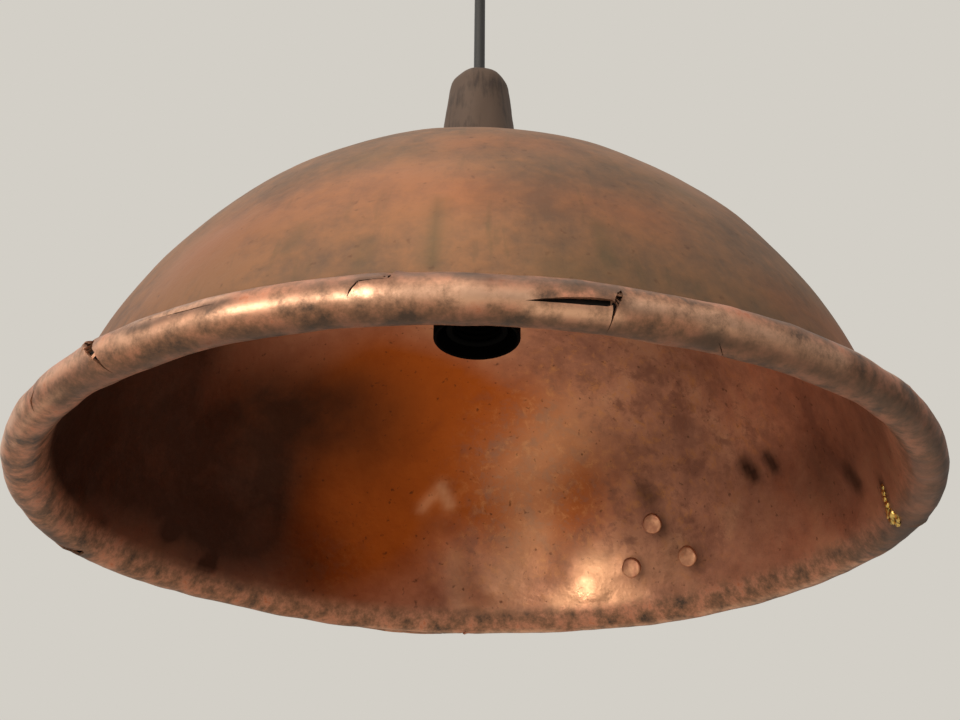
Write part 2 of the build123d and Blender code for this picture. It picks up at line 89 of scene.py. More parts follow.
RIM_Z = (rod_low.z + rod_high.z) / 2
ROD_RADIUS = (rod_high.z - rod_low.z) / 2
RIM_RADIUS = rod_high.x - ROD_RADIUS
ROLL_RADIUS = bowl_high.x - RIM_RADIUS
CORD_RADIUS = cord_high.x
TUBE_RADIUS = tube_high.x

# ------------------------------------------------------------------ wear of the bowl
# Cracks in the rolled edge: (azimuth, angle round the roll, gap in mm) from one end to the other,
# then how far each lip stands out in mm: the lip that is on the right going along, and the left.
CRACKS = [
    ([(-38.6, 56, 0), (-38.0, 38, 2.9), (-37.4, 16, 3.7), (-37.0, -2, 2.4), (-36.4, -20, 2.0),
      (-35.8, -44, .7), (-35.2, -80, 0)], .9, -.3),
    ([(-47.8, -10, 0), (-49.2, -30, .7), (-50.0, -62, 0)], .2, -.2),
    ([(-31.0, 24, 0), (-29.2, 20, 1.0), (-26.8, 14, 1.9), (-24.5, 9.5, 1.1), (-22.0, 6, 0)], .4, -.7),
    ([(-10.3, -24, 0), (-10.0, -4, 1.1), (-9.4, 17, 1.5), (-8.2, 18, 1.4), (-7.0, 20, 1.5),
      (-6.8, 40, 1.9), (-6.5, 60, 1.5), (-6.3, 84, 0)], .6, -.7),
    ([(11.8, 22, 0), (11.6, 6, 1.8), (11.4, -8, 1.8), (11.2, -20, 1.4), (11.1, -45, .6),
      (11.0, -94, 0)], .3, .3),
    ([(3.9, -28, 0), (5.4, -25, .9), (7.2, -22, 1.7), (9.2, -19.5, 2.0), (10.75, -18, 1.9),
      (11.1, -18, .8)], -.4, .7),
    ([(20.8, -60, 0), (21.8, -90, .4), (23.0, -126, 0)], .1, 0),
    ([(46.4, 42, 0), (47.0, 30, 1.3), (47.6, 20, 0)], .2, -.2),
    ([(-94.0, -50, 0), (-95.5, -72, .9), (-97.0, -92, .7), (-98.0, -104, 1.6), (-98.4, -112, 0)],
     1.2, -.9),
    ([(82.0, -30, 0), (82.4, -52, 1.2), (82.8, -74, 1.4), (83.2, -96, .8), (83.4, -116, 0)], .8, -.8),
    ([(-158.0, -70, 0), (-163.0, -76, .9), (-168.0, -74, 1.1), (-174.0, -68, .7), (-177.5, -62, 0)],
     1.1, -.8),
    ([(-177.6, -40, 0), (-177.8, -70, .8), (-178.0, -100, .8), (-178.2, -120, 0)], .9, -.5),
]

# Handling of the rolled edge, with painted highlight and painted shade: azimuth from and to, angle round
# the roll, half width in mm and strength.
EDGE_BANDS = {
    # rubbed bands, which also paint the highlight along the edge's outer face
    "edge_rub_and_highlight": [
        (-46, -33, 10, 3.0, .55), (-32, -11, -8, 2.4, .6), (-31, -22, 34, 1.6, .8),
        (-9.5, -1, -10, 2.6, 1.0), (-1, 4, -18, 2.4, .95), (5, 11, -44, 2.2, .95), (13, 20, -12, 2.6, .8),
        (20, 34, -22, 2.8, .8), (-70, -52, 0, 3.4, .8), (-95, -72, -30, 3.4, .5), (-60, -44, -52, 2.2, .4),
        (36, 50, 30, 1.8, .4), (-176, -160, -90, 3.0, .45), (165, 178, -96, 2.6, .75),
        (140, 160, -90, 2.4, .6), (100, 136, -96, 2.6, .55), (-150, -104, -88, 2.2, .3),
    ],
    # dull bands: tarnish on the top of the edge, painted shade under it at the negative angles
    "edge_dull_and_shade": [
        (-46, 20, -78, 4.2, .7), (20, 88, -60, 6.0, .8), (-32, -21, 16, 1.8, .9),
        (-14, -10.5, 24, 2.2, .7), (-9, 0, 34, 3.0, .8), (0, 11, 24, 3.0, .8), (24, 84, 60, 4.0, .8),
        (-100, -88, -80, 4.0, .8), (82, 92, -60, 7.0, .95), (12, 14, -20, 2.4, .8),
        (-45, -38, -30, 3.0, .4), (-178, -150, -60, 2.4, .6), (60, 100, -130, 6.0, .5),
    ],
}

# Dents and creases: start and end (azimuth, height), half width and depth in mm; outwards is positive.
DENTS = [
    ((-173, 79), (-174, 52), 5, -1.2), ((-174, 52), (-177, 11), 6, -.8), ((-169, 66), (-166, 44), 9, 1.2),
    ((157, 12), (160, 34), 12, 1.2), ((178, 20), (-178, 46), 9, .9), ((140, 40), (152, 34), 22, .7),
    ((118, 70), (111, 58), 12, .9), ((95, 40), (88, 30), 12, -.8), ((-150, 40), (-146, 80), 20, 1.2),
    ((-125, 60), (-118, 92), 24, 1.4), ((-40, 60), (-30, 84), 26, -.9), ((6, 72), (20, 64), 22, -.7),
    ((-12, 30), (4, 36), 15, -.5), ((34, 42), (46, 56), 20, .7), ((-66, 90), (-58, 112), 28, .9),
    ((60, 88), (74, 104), 28, -.9), ((126, 130), (150, 138), 24, .8),
]

# Stains and bright places, with painted shade, painted shadows and painted highlight among them: start and
# end (azimuth, height), half width in mm, and strength.
STAINS = {
    "inside_soot_and_shade": [
        # the broad strokes on the left are sooty stains with painted shade, where the left of the inside
        # lies in shade
        ((-84, 34), (-118, 44), 62, .95), ((-60, 40), (-84, 90), 60, .9),
        ((-128, 84), (-150, 110), 46, .62), ((-134, 36), (-144, 22), 34, .55),
        ((-20, 60), (-70, 120), 70, .6), ((-122, 118), (-138, 122), 34, .35),
        ((117, 64), (116, 58), 5, 1.1), ((111, 62), (110.4, 57), 4.5, 1.1), ((91, 30), (90, 22), 5, .9),
        ((142, 70), (141, 64), 7, .6), ((-115, 22), (-114, 19), 4, .9), ((-125, 9), (-124, 7), 4, .9),
        ((126, 138), (112, 120), 26, .35), ((102, 40), (118, 44), 26, .3), ((147, 44), (138, 40), 20, .28),
        ((76, 22), (96, 34), 30, .42), ((82.4, 12), (82.2, 4), 3.2, 1.2), ((150, 90), (128, 84), 30, .25),
        # the strokes just below the three rivets are painted shadows of their heads
        ((-98, 4), (-99, 0), 5, .5), ((140.6, 49), (140.4, 45), 6, .7), ((146.9, 25), (146.7, 21), 6, .7),
        ((134.9, 25.5), (134.7, 21), 6, .7),
    ],
    "inside_warm": [
        ((-165, 110), (168, 108), 38, 1.0), ((168, 108), (160, 78), 34, .95),
        ((-165, 105), (-148, 62), 50, 1.0), ((-150, 140), (-166, 135), 36, .9),
        ((-130, 112), (-118, 100), 42, .8), ((178, 70), (168, 52), 26, .6),
        ((-165, 40), (-150, 26), 34, .6),
    ],
    "inside_mottle": [
        ((160, 108), (134, 122), 44, .9), ((166, 58), (138, 44), 44, .9), ((176, 96), (172, 64), 22, .6),
        ((150, 84), (112, 84), 42, .8), ((-178, 30), (166, 20), 26, .7), ((130, 130), (150, 146), 30, .6),
        ((-150, 20), (-120, 20), 26, .4),
    ],
    "inside_polish_and_highlight": [
        # the strokes low on the far wall paint the highlight there, over rubbed places
        ((158, 10), (156, 26), 15, 1.0), ((164, 8), (148, 6), 9, .6), ((-172, 82), (-174, 72), 4.5, .6),
        ((-170, 76), (-168, 68), 4, .4), ((-176, 36), (-177, 10), 8, .35), ((174, 16), (168, 50), 20, .5),
        ((168, 90), (158, 110), 30, .5), ((150, 24), (140, 20), 14, .35),
    ],
    "outside_soot_and_crease_shade": [
        ((-4, 54), (-4.4, 23), 3.2, .75), ((13, 46), (13.2, 28), 3, .7), ((-11, 34), (-11.4, 24), 3, .55),
        ((-19, 47), (-20, 36), 3.5, .55), ((-16, 92), (30, 88), 9, .4), ((52, 60), (66, 40), 30, .35),
        # the two low strokes on the near side are painted shade in the crease above the rolled edge
        ((8, 20), (40, 22), 10, .5), ((-8, 12), (-30, 14), 7, .45), ((70, 70), (80, 110), 40, .4),
    ],
    "outside_polish": [
        ((-34, 60), (-10, 66), 24, .34), ((0, 60), (20, 58), 15, .4), ((-46, 30), (-60, 50), 26, .2),
        ((36, 30), (52, 34), 12, .4), ((-2, 100), (10, 104), 14, .3),
    ],
}

# Waves of the beaten sheet, knocks on its rolled edge and bruises of the cap: see waves().
SHEET_WAVES = [(55, 0.9, (0, 0, 0)), (22, 0.32, (7, 3, 1)), (9.5, 0.07, (2, 9, 4))]
EDGE_KNOCKS = [(19, 0.62, (5, 5, 5)), (8, 0.22, (1, 8, 2))]
CAP_BRUISES = [(17, 0.5, (0, 0, 0)), (6, 0.16, (0, 0, 0))]

# How the edge has gone out of true, in mm: see ripple(). The near side is lifted and tilted besides.
OUT_OF_ROUND = [(0.7, 2, 0.8), (0.5, 3, -1.1), (0.35, 5, 2.0)]
OUT_OF_PLANE = [(0.5, 2, -1.9), (0.4, 3, 0.6), (0.4, 6, 1.2)]
NEAR_LIFT, NEAR_TILT = 1.6, 1.5
SWAY_HEIGHT = 0.13

# Rivets of the lost ear: (azimuth, height), and the radius and rise of their heads in mm.
EAR_RIVETS = [(142, 50), (148.1, 26), (136.1, 26.5)]
INNER_HEAD = (6.8, 1.5)
OUTER_HEAD = (5.5, 1.2)

# Beads of braze: azimuth, height and radius in mm; they run on and flatten against the wall.
BRAZE_BEADS = [
    (82.2, 11.0, 1.2), (82.5, 8.6, 1.5), (82.8, 6.2, 1.7), (83.0, 3.8, 2.0), (83.6, 1.6, 2.2),
    (83.2, -0.6, 2.6), (84.2, -2.0, 2.5), (82.6, -3.2, 2.2), (83.7, -4.4, 2.1), (84.6, -0.2, 1.8),
]
BEAD_SPREAD = 1.35
BEAD_FLATTENING = 0.55


# ------------------------------------------------------------------ settings shown in the sidebar
def linear(code):
    """Scene-linear colour of an sRGB hex value."""
    parts = [int(code[i:i + 2], 16) / 255 for i in (1, 3, 5)]
    return tuple(p / 12.92 if p <= 0.04045 else ((p + 0.055) / 1.055) ** 2.4 for p in parts)


def length(name, description, default):
    """A size in metres for a property group."""
    return FloatProperty(name=name, description=description, default=default, min=0, unit="LENGTH")


def angle(name, description, default):
    """An angle for a property group, given in degrees."""
    return FloatProperty(name=name, description=description, default=radians(default),
                         subtype="ANGLE")


def colour(name, description, code):
    """A colour for a property group, given as an sRGB hex value."""
    return FloatVectorProperty(name=name, description=description, default=linear(code),
                               subtype="COLOR", min=0, max=1)


class LampBowlSettings(PropertyGroup):
    sheet: length("Sheet", "Thickness of the copper sheet", 1.2 * MM)
    crown_flat: length("Crown", "Radius of the flat crown", 32 * MM)
    shoulder: angle("Shoulder", "Where the shoulder's curve meets the wall's", 36)
    lean: angle("Lean", "Lean of the wall's foot from upright", 8.5)
    flare: length("Flare", "Radius of the flare above the rolled edge", 33 * MM)
    flare_end: angle("Flare end", "Lean of the sheet where the flare meets the roll", 30)
    roll_end: angle("Roll end", "Angle round the roll where the sheet stops", 158)
    unevenness: FloatProperty(name="Unevenness", description="How much the sheet waves and dents",
                              default=1.0, min=0, max=3)
    columns: IntProperty(name="Columns", description="Faces round the bowl", default=340, min=96)


class LampFittingSettings(PropertyGroup):
    cap_wall: length("Cap wall", "Thickness of the cap's sheet", 1.5 * MM)
    cap_shoulder: length("Cap shoulder", "Radius of the cap's shoulder", 11 * MM)
    cap_top: length("Cap top", "Radius of the cap's cone at its top", 17.4 * MM)
    skirt_wall: length("Skirt wall", "Thickness of the lampholder's skirt", 2 * MM)
    thread_pitch: length("Thread pitch", "Pitch of the lampholder's thread", 3.6 * MM)
    cup_wall: length("Cup wall", "Thickness of the ceiling cup", 1.5 * MM)
    cup_straight: length("Cup edge", "Height of the ceiling cup's straight edge", 12 * MM)
    cup_bottom: length("Cup bottom", "Radius of the ceiling cup's flat bottom", 15 * MM)
    boot_rings: IntProperty(name="Boot rings", description="Rings of the strain relief", default=7)


class LampColours(PropertyGroup):
    # bright copper also paints the highlight low on the far wall inside the bowl
    bright_copper: colour("Bright copper", "Copper rubbed bright", "#f0b78e")
    golden_copper: colour("Golden copper", "Worn spots in the tarnish", "#d9935a")
    warm_copper: colour("Warm copper", "Clean copper with a thin orange film", "#b4591f")
    red_copper: colour("Red copper", "Copper with a thin red tarnish", "#c98b6e")
    # dark copper also paints the shade on the left of the inside and the shadows below the rivets
    brown_copper: colour("Brown copper", "Copper under a brown tarnish", "#9c6955")
    dark_copper: colour("Dark copper", "Copper under soot and oxide", "#43271a")
    edge_brown: colour("Edge brown", "Rolled edge, handled and dull", "#946b52")
    # edge dark also paints the shade under the rolled edge
    edge_dark: colour("Edge dark", "Rolled edge where nothing rubs it", "#54443a")
    # edge pink also paints the highlight along the rolled edge's outer face
    edge_pink: colour("Edge pink", "Rolled edge rubbed bright", "#f0c0a0")
    dome_tan: colour("Dome tan", "Warm tan of the outside", "#92694a")
    dome_brown: colour("Dome brown", "Dull brown of the outside", "#6f5745")
    dome_olive: colour("Dome olive", "Olive runs on the outside", "#575039")
    cap_brown: colour("Cap brown", "Oxidised sheet of the cap", "#5a483c")
    brass: colour("Brass", "Brazing brass", "#f2d07a")
    cord: colour("Cord", "Sheath of the cord", "#17191a")


class LampStageSettings(PropertyGroup):
    backdrop: colour("Backdrop", "Colour behind the lamp", "#d3cfc7")
    floor: colour("Floor", "Colour of the floor", "#cfc9c0")
    key_power: FloatProperty(name="Key light", description="Soft window light from the front left",
                             default=24, min=0, unit="POWER")
    bounce_power: FloatProperty(name="Bounce light", description="Soft light off the ceiling",
                                default=14, min=0, unit="POWER")
    floor_drop: length("Floor drop", "How far the floor lies below the ceiling", 2.2)


# ------------------------------------------------------------------ small tools
def feed(tree, socket, value):
    """Give a socket a constant, or link it to another node's socket."""
    if isinstance(value, bpy.types.NodeSocket):
        tree.links.new(value, socket)
    else:
        socket.default_value = value


def node(tree, kind, inputs=None, stops=(), **settings):
    """Add a node: settings are its attributes, inputs are values or sockets, stops fill a ramp."""
    made = tree.nodes.new("ShaderNode" + kind)
    for name, value in settings.items():
        setattr(made, name, value)
    for key, value in (inputs or {}).items():
        feed(tree, made.inputs[key], value)
    for index, (place, tone) in enumerate(stops):
        ramp = made.color_ramp.elements
        element = ramp[index] if index < 2 else ramp.new(place)
        element.position = place
        element.color = (*tone, 1)
    return made


def make_piece(name, bm, materials, body, stands_for, wall=0.0, sharp=40):
    """Turn a bmesh into a piece of the lamp; wall thickens a single surface both ways."""
    mesh = bpy.data.meshes.new(name)
    bm.to_mesh(mesh)
    bm.free()
    piece = bpy.data.objects.new(name, mesh)
    bpy.context.scene.collection.objects.link(piece)
    for material in materials:
        mesh.materials.append(material)
    if wall:
        solid = piece.modifiers.new("wall", "SOLIDIFY")
        solid.thickness = wall
        solid.offset = 0
        solid.use_even_offset = False
        solid.material_offset = len(materials) - 1
        solid.material_offset_rim = len(materials) - 1
        graph = bpy.context.evaluated_depsgraph_get()
        piece.data = bpy.data.meshes.new_from_object(piece.evaluated_get(graph), depsgraph=graph,
                                                     preserve_all_data_layers=True)
        piece.modifiers.clear()
        bpy.data.meshes.remove(mesh)
        piece.data.name = name
    piece.data.shade_smooth()
    piece.data.set_sharp_from_angle(angle=radians(sharp))
    if body:
        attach(piece, body)
    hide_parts(*stands_for)
    return piece


def run_to(bm, last, *stops):
    """Carry a profile straight through stops (x, z) or (x, z, cuts on the way); None starts one."""
    for x, z, *cuts in stops:
        end = Vector((x, 0, z))
        if last is None:
            last = bm.verts.new(end)
            continue
        start = last.co.copy()
        steps = sum(cuts) + 1
        for step in range(steps):
            new = bm.verts.new(start.lerp(end, (step + 1) / steps))
            bm.edges.new((last, new))
            last = new
    return last


def carry(bm, last, centre, turn, steps):
    """Carry a profile's end round a centre in the XZ plane, by a turn in radians."""
    made = bmesh.ops.spin(bm, geom=[last], cent=centre, axis=(0, -1, 0), angle=turn, steps=steps)
    return [v for v in made["geom_last"] if isinstance(v, bmesh.types.BMVert)][0]


def full_spin(bm, steps):
    """Spin what the bmesh holds once round the Z axis, closed, with its faces outwards."""
    bmesh.ops.spin(bm, geom=bm.verts[:] + bm.edges[:], cent=(0, 0, 0), axis=(0, 0, 1),
                   angle=2 * pi, steps=steps, use_merge=True)
    bmesh.ops.remove_doubles(bm, verts=bm.verts, dist=1e-7)
    bmesh.ops.recalc_face_normals(bm, faces=bm.faces)


def flute(vertex, count, depth):
    """Draw a vertex in towards the axis, where one of the grooves round a piece passes it."""
    groove = 0.5 - 0.5 * cos(count * atan2(vertex.co.y, vertex.co.x))
    vertex.co.xy *= 1 - depth * groove / vertex.co.xy.length


def unit(turn):
    """Unit vector at this angle above the horizontal, in the XZ plane."""
    return Vector((cos(turn), 0, sin(turn)))


def around(radius, azimuth, z):
    """Point at this distance from the axis, azimuth in degrees and height."""
    return Vector((radius * sin(radians(azimuth)), -radius * cos(radians(azimuth)), z))


def outwards(point):
    """Level unit vector from the axis towards a point."""
    return Vector((point.x, point.y, 0)).normalized()


def smooth(value, low, high):
    """0 below low, 1 above high, smooth between."""
    t = min(max((value - low) / (high - low), 0), 1)
    return t * t * (3 - 2 * t)


def waves(point, sizes):
    """Sum of noise: each size is a length in mm, a height and a shift of place."""
    return sum(noise.noise(point / (length * MM) + Vector(shift)) * height
               for length, height, shift in sizes)


def ripple(terms, turn):
    """Sum of cosines round the bowl: each term is a size, a number of waves and a phase."""
    return sum(size * cos(count * turn + phase) for size, count, phase in terms)


# ------------------------------------------------------------------ the bowl's line
class BowlLine:
    """The middle of the bowl's sheet, worked out from its settings and the frame."""

    def __init__(self, settings):
        half = settings.sheet / 2
        self.roll = ROLL_RADIUS - half
        self.crown_z = bowl_high.z - half
        self.centre = Vector((RIM_RADIUS, 0, RIM_Z))
        self.roll_start = self.centre - self.roll * unit(settings.flare_end)
        bend = unit(settings.lean) - unit(settings.flare_end)
        self.flare_start = self.roll_start - settings.flare * bend
        self.flare_centre = self.roll_start + settings.flare * unit(settings.flare_end)
        self.crown_edge = Vector((settings.crown_flat, 0, self.crown_z))
        gap = self.flare_start - self.crown_edge
        first = unit(settings.shoulder) - unit(pi / 2)
        second = unit(settings.lean) - unit(settings.shoulder)
        size = first.x * second.z - first.z * second.x
        self.shoulder = (gap.x * second.z - gap.z * second.x) / size
        self.wall = (first.x * gap.z - first.z * gap.x) / size
        self.shoulder_centre = self.crown_edge - Vector((0, 0, self.shoulder))
        self.wall_centre = self.flare_start - self.wall * unit(settings.lean)
        self.meet = (self.shoulder_centre + self.shoulder * unit(settings.shoulder)).z

    def on_wall(self, azimuth, height):
        """Point on the bowl's sheet at this azimuth and height in mm above the rim's plane."""
        z = min(RIM_Z + height * MM, self.crown_z - 1e-5)
        upper = z > self.meet
        centre = self.shoulder_centre if upper else self.wall_centre
        size = self.shoulder if upper else self.wall
        r = centre.x + (size ** 2 - (z - centre.z) ** 2) ** 0.5
        return around(r, azimuth, z)

    def on_roll(self, azimuth, turn):
        """Point on the rolled edge's sheet."""
        r = RIM_RADIUS + self.roll * cos(radians(turn))
        z = RIM_Z + self.roll * sin(radians(turn))
        return around(r, azimuth, z)


def roll_axis(point):
    """Nearest point of the circle that the roll goes round."""
    return outwards(point) * RIM_RADIUS + Vector((0, 0, RIM_Z))


def sway(point):
    """How the whole edge has gone out of round and out of plane, fading towards the crown."""
    turn = atan2(point.x, -point.y)
    share = 1 - smooth(point.z - RIM_Z, 0, SWAY_HEIGHT)
    lifted = NEAR_LIFT * smooth(cos(turn + 0.85), 0.6, 1.0) - NEAR_TILT * sin(turn)
    rise = ripple(OUT_OF_PLANE, turn) + smooth(cos(turn), -0.3, 0.6) * lifted
    return (outwards(point) * ripple(OUT_OF_ROUND, turn) + Vector((0, 0, rise))) * share * MM


def stroke_sum(points, strokes, line):
    """Sum of soft strokes over points: each fades away from its line like a bell."""
    total = np.zeros(len(points))
    for start, end, width, strength in strokes:
        a = np.array(line.on_wall(*start))
        run = np.array(line.on_wall(*end)) - a
        t = np.clip((points - a) @ run / max(run @ run, 1e-12), 0, 1)
        away = ((points - a - t[:, None] * run) ** 2).sum(1)
        total += strength * np.exp(-away / (width * MM) ** 2)
    return total


def band_sum(points, bands):
    """Sum of soft bands that run round the rolled edge, over points."""
    azimuth = np.degrees(np.arctan2(points[:, 0], -points[:, 1]))
    away = np.hypot(points[:, 0], points[:, 1]) - RIM_RADIUS
    turn = np.degrees(np.arctan2(points[:, 2] - RIM_Z, away))
    total = np.zeros(len(points))
    for first, last, middle, width, strength in bands:
        round_roll = (turn - middle + 180) % 360 - 180
        across = np.radians(round_roll) * ROLL_RADIUS / (width * MM)
        past = np.maximum(np.maximum(first - azimuth, azimuth - last), 0)
        along = np.radians(past) * RIM_RADIUS / (4 * MM)
        total += strength * np.exp(-across ** 2 - along ** 2)
    return total


# ------------------------------------------------------------------ the bowl
def faces_near(faces, points, reach):
    """Those of these faces whose middle lies within reach of any of the points."""
    faces = list(faces)
    middles = np.array([f.calc_center_median()[:] for f in faces])
    near = np.zeros(len(faces), bool)
    for point in points:
        near |= ((middles - np.array(point)) ** 2).sum(1) < reach ** 2
    return [f for f, close in zip(faces, near) if close]


def in_order(bm, parts):
    """Parts of a mesh by their numbers, so that each run treats them in the same order."""
    for kind in (bm.verts, bm.edges, bm.faces):
        kind.index_update()
    return sorted(parts, key=lambda part: (type(part).__name__, part.index))


def refine(bm, points, reach):
    """Halve the faces near these points."""
    edges = {e for f in faces_near(bm.faces, points, reach) for e in f.edges}
    bmesh.ops.subdivide_edges(bm, edges=in_order(bm, edges), cuts=1, use_grid_fill=True)


def cut_faces(bm, zone, points, reach, place, across):
    """Cut the zone's faces near some points by the plane through a place; zone keeps up."""
    parts = set(faces_near(zone, points, reach))
    for face in list(parts):
        parts.update(face.edges)
        parts.update(face.verts)
    made = bmesh.ops.bisect_plane(bm, geom=in_order(bm, parts), dist=1e-7, plane_co=place,
                                  plane_no=across)
    gone = {face for face in zone if not face.is_valid}
    zone.difference_update(gone)
    cuts = [part for part in made["geom_cut"] if isinstance(part, bmesh.types.BMVert)]
    zone.update(face for vertex in cuts for face in vertex.link_faces)


def open_crack(bm, line, route, right_lip, left_lip):
    """Cut the rolled sheet along a route, part the edges there and draw the lips apart."""
    places = [line.on_roll(azimuth, turn) for azimuth, turn, gap in route]
    gaps = [gap * MM for azimuth, turn, gap in route]
    spans = []
    zone = set(faces_near(bm.faces, places, 0.012))
    for start, end, wide, next_wide in zip(places, places[1:], gaps, gaps[1:]):
        middle = (start + end) / 2
        run = end - start
        across = run.cross(middle - roll_axis(middle)).normalized()
        cut_faces(bm, zone, [middle], run.length / 2 + 0.002, start, across)
        spans.append((start, run, across, wide, next_wide))
    for place, span in zip(places, spans + spans[-1:]):
        cut_faces(bm, zone, [place], 0.0015, place, span[1].normalized())

    bmesh.ops.remove_doubles(bm, verts=in_order(bm, {v for f in zone for v in f.verts}), dist=WELD)
    zone = {f for f in zone if f.is_valid}

    def on_route(point):
        """Whether a point lies on one of the cuts, within the weld."""
        for start, run, across, *widths in spans:
            spare = 2 * WELD / run.length
            t = (point - start).dot(run) / run.length_squared
            beside = abs((point - start).dot(across)) < 1.05 * WELD
            deep = (point - start - run * t).length
            if beside and -spare <= t <= 1 + spare and deep < 0.003:
                return True
        return False

    marked = []
    for edge in in_order(bm, {e for f in zone for e in f.edges}):
        first, second = (v.co for v in edge.verts)
        if on_route(first) and on_route(second) and on_route((first + second) / 2):
            marked.append(edge)
    bmesh.ops.split_edges(bm, edges=marked)

    widest = max(gaps)
    reach = max(0.003, 2.4 * widest)
    moves = []
    for vertex in {v for f in zone for v in f.verts}:
        best = None
        for start, run, across, wide, next_wide in spans:
            t = min(max((vertex.co - start).dot(run) / run.length_squared, 0), 1)
            away = vertex.co - start - run * t
            if best is None or away.length < best[0]:
                best = (away.length, away.dot(across), across, wide + (next_wide - wide) * t)
        far, side, across, wide = best
        if far >= reach:
            continue
        if vertex.is_boundary and abs(side) < 1.5 * WELD:
            side = sum((f.calc_center_median() - vertex.co).dot(across) for f in vertex.link_faces)
        sign = 1 if side > 0 else -1
        fade = (1 - far / reach) ** 2
        lip = (right_lip if sign > 0 else left_lip) * MM * wide / widest
        outward = (vertex.co - roll_axis(vertex.co)).normalized()
        moves.append((vertex, across * (sign * wide / 2 * fade) + outward * (lip * fade)))
    for vertex, move in moves:
        vertex.co += move


def paint(mesh, name, values):
    """Store one number per vertex for the materials to read."""
    layer = mesh.attributes.new(name, "FLOAT", "POINT")
    layer.data.foreach_set("value", np.clip(values, 0, 1).astype(np.float32))


class LAMP_OT_bowl(Operator):
    """Beaten copper bowl with its cracked, rolled edge, and the iron rod inside that edge"""
    bl_idname = "lamp.bowl"
    bl_label = "Bowl"

    def execute(self, context):
        settings = context.scene.lamp_bowl
        line = BowlLine(settings)
        bm = bmesh.new()
        last = run_to(bm, None, (TUBE_RADIUS + CLEARANCE, line.crown_z),
                      (settings.crown_flat, line.crown_z, 4))
        for centre, turn, steps in [
                (line.shoulder_centre, settings.shoulder - pi / 2, 22),
                (line.wall_centre, settings.lean - settings.shoulder, 25),
                (line.flare_centre, settings.flare_end - settings.lean, 4),
                (line.centre, pi + settings.roll_end - settings.flare_end, 28)]:
            last = carry(bm, last, centre, turn, steps)
        full_spin(bm, settings.columns)
        crown = max(bm.faces, key=lambda f: f.calc_center_median().z)
        if crown.normal.z < 0:
            bmesh.ops.reverse_faces(bm, faces=bm.faces)

        for route, right_lip, left_lip in CRACKS:
            places = [line.on_roll(azimuth, turn) for azimuth, turn, gap in route]
            places += [(a + b) / 2 for a, b in zip(places, places[1:])]
            refine(bm, places, 0.0055)
            refine(bm, places, 0.004)
        for vertex in bm.verts:
            core = roll_axis(vertex.co)
            arm = vertex.co - core
            if abs(arm.length - line.roll) < 0.4 * MM:
                vertex.co = core + arm.normalized() * line.roll
        for route, right_lip, left_lip in CRACKS:
            open_crack(bm, line, route, right_lip, left_lip)

        bm.normal_update()
        rest = np.array([v.co[:] for v in bm.verts])
        dents = stroke_sum(rest, DENTS, line) * MM * settings.unevenness
        for vertex, dent in zip(bm.verts, dents):
            point = vertex.co.copy()
            arm = point - roll_axis(point)
            edge = 1 - smooth(arm.length, line.roll * 1.02, line.roll * 2.2)
            wave = waves(point, SHEET_WAVES) * MM * settings.unevenness
            push = wave * (1 - 0.75 * edge) + dent * (1 - edge)
            knocks = waves(point, EDGE_KNOCKS) * MM * settings.unevenness
            lump = arm.normalized() * knocks * edge
            vertex.co = point + vertex.normal * push + lump + sway(point)
        bmesh.ops.triangulate(bm, faces=[f for f in bm.faces if len(f.verts) > 4])

        piece = make_piece("beaten_copper_bowl", bm, [dome_copper(), kettle_copper()], "lamp_head",
                           ["copper_bowl"], wall=settings.sheet)
        mesh = piece.data
        points = np.zeros(len(mesh.vertices) * 3)
        mesh.vertices.foreach_get("co", points)
        points = points.reshape(-1, 3)
        flat = np.hypot(points[:, 0], points[:, 1])
        to_roll = np.hypot(flat - RIM_RADIUS, points[:, 2] - RIM_Z)
        paint(mesh, "edge", 1 - (to_roll - 8.5 * MM) / (5 * MM))
        for name, strokes in STAINS.items():
            paint(mesh, name, stroke_sum(points, strokes, line))
        for name, bands in EDGE_BANDS.items():
            paint(mesh, name, band_sum(points, bands))
        self.rod(settings, line)
        return {"FINISHED"}

    def rod(self, settings, line):
        """The rod follows the edge's sway, and leaves room for the lumps in the sheet."""
        bm = bmesh.new()
        size = line.roll - settings.sheet / 2 - ROD_ROOM
        bmesh.ops.create_circle(bm, segments=20, radius=size,
                                matrix=Matrix.Translation(line.centre) @ Matrix.Rotation(pi / 2, 4, "X"))
        full_spin(bm, 240)
        for vertex in bm.verts:
            vertex.co += sway(vertex.co)
        make_piece("rim_rod_forged", bm, [rusted_iron()], "lamp_head", ["rim_rod"])


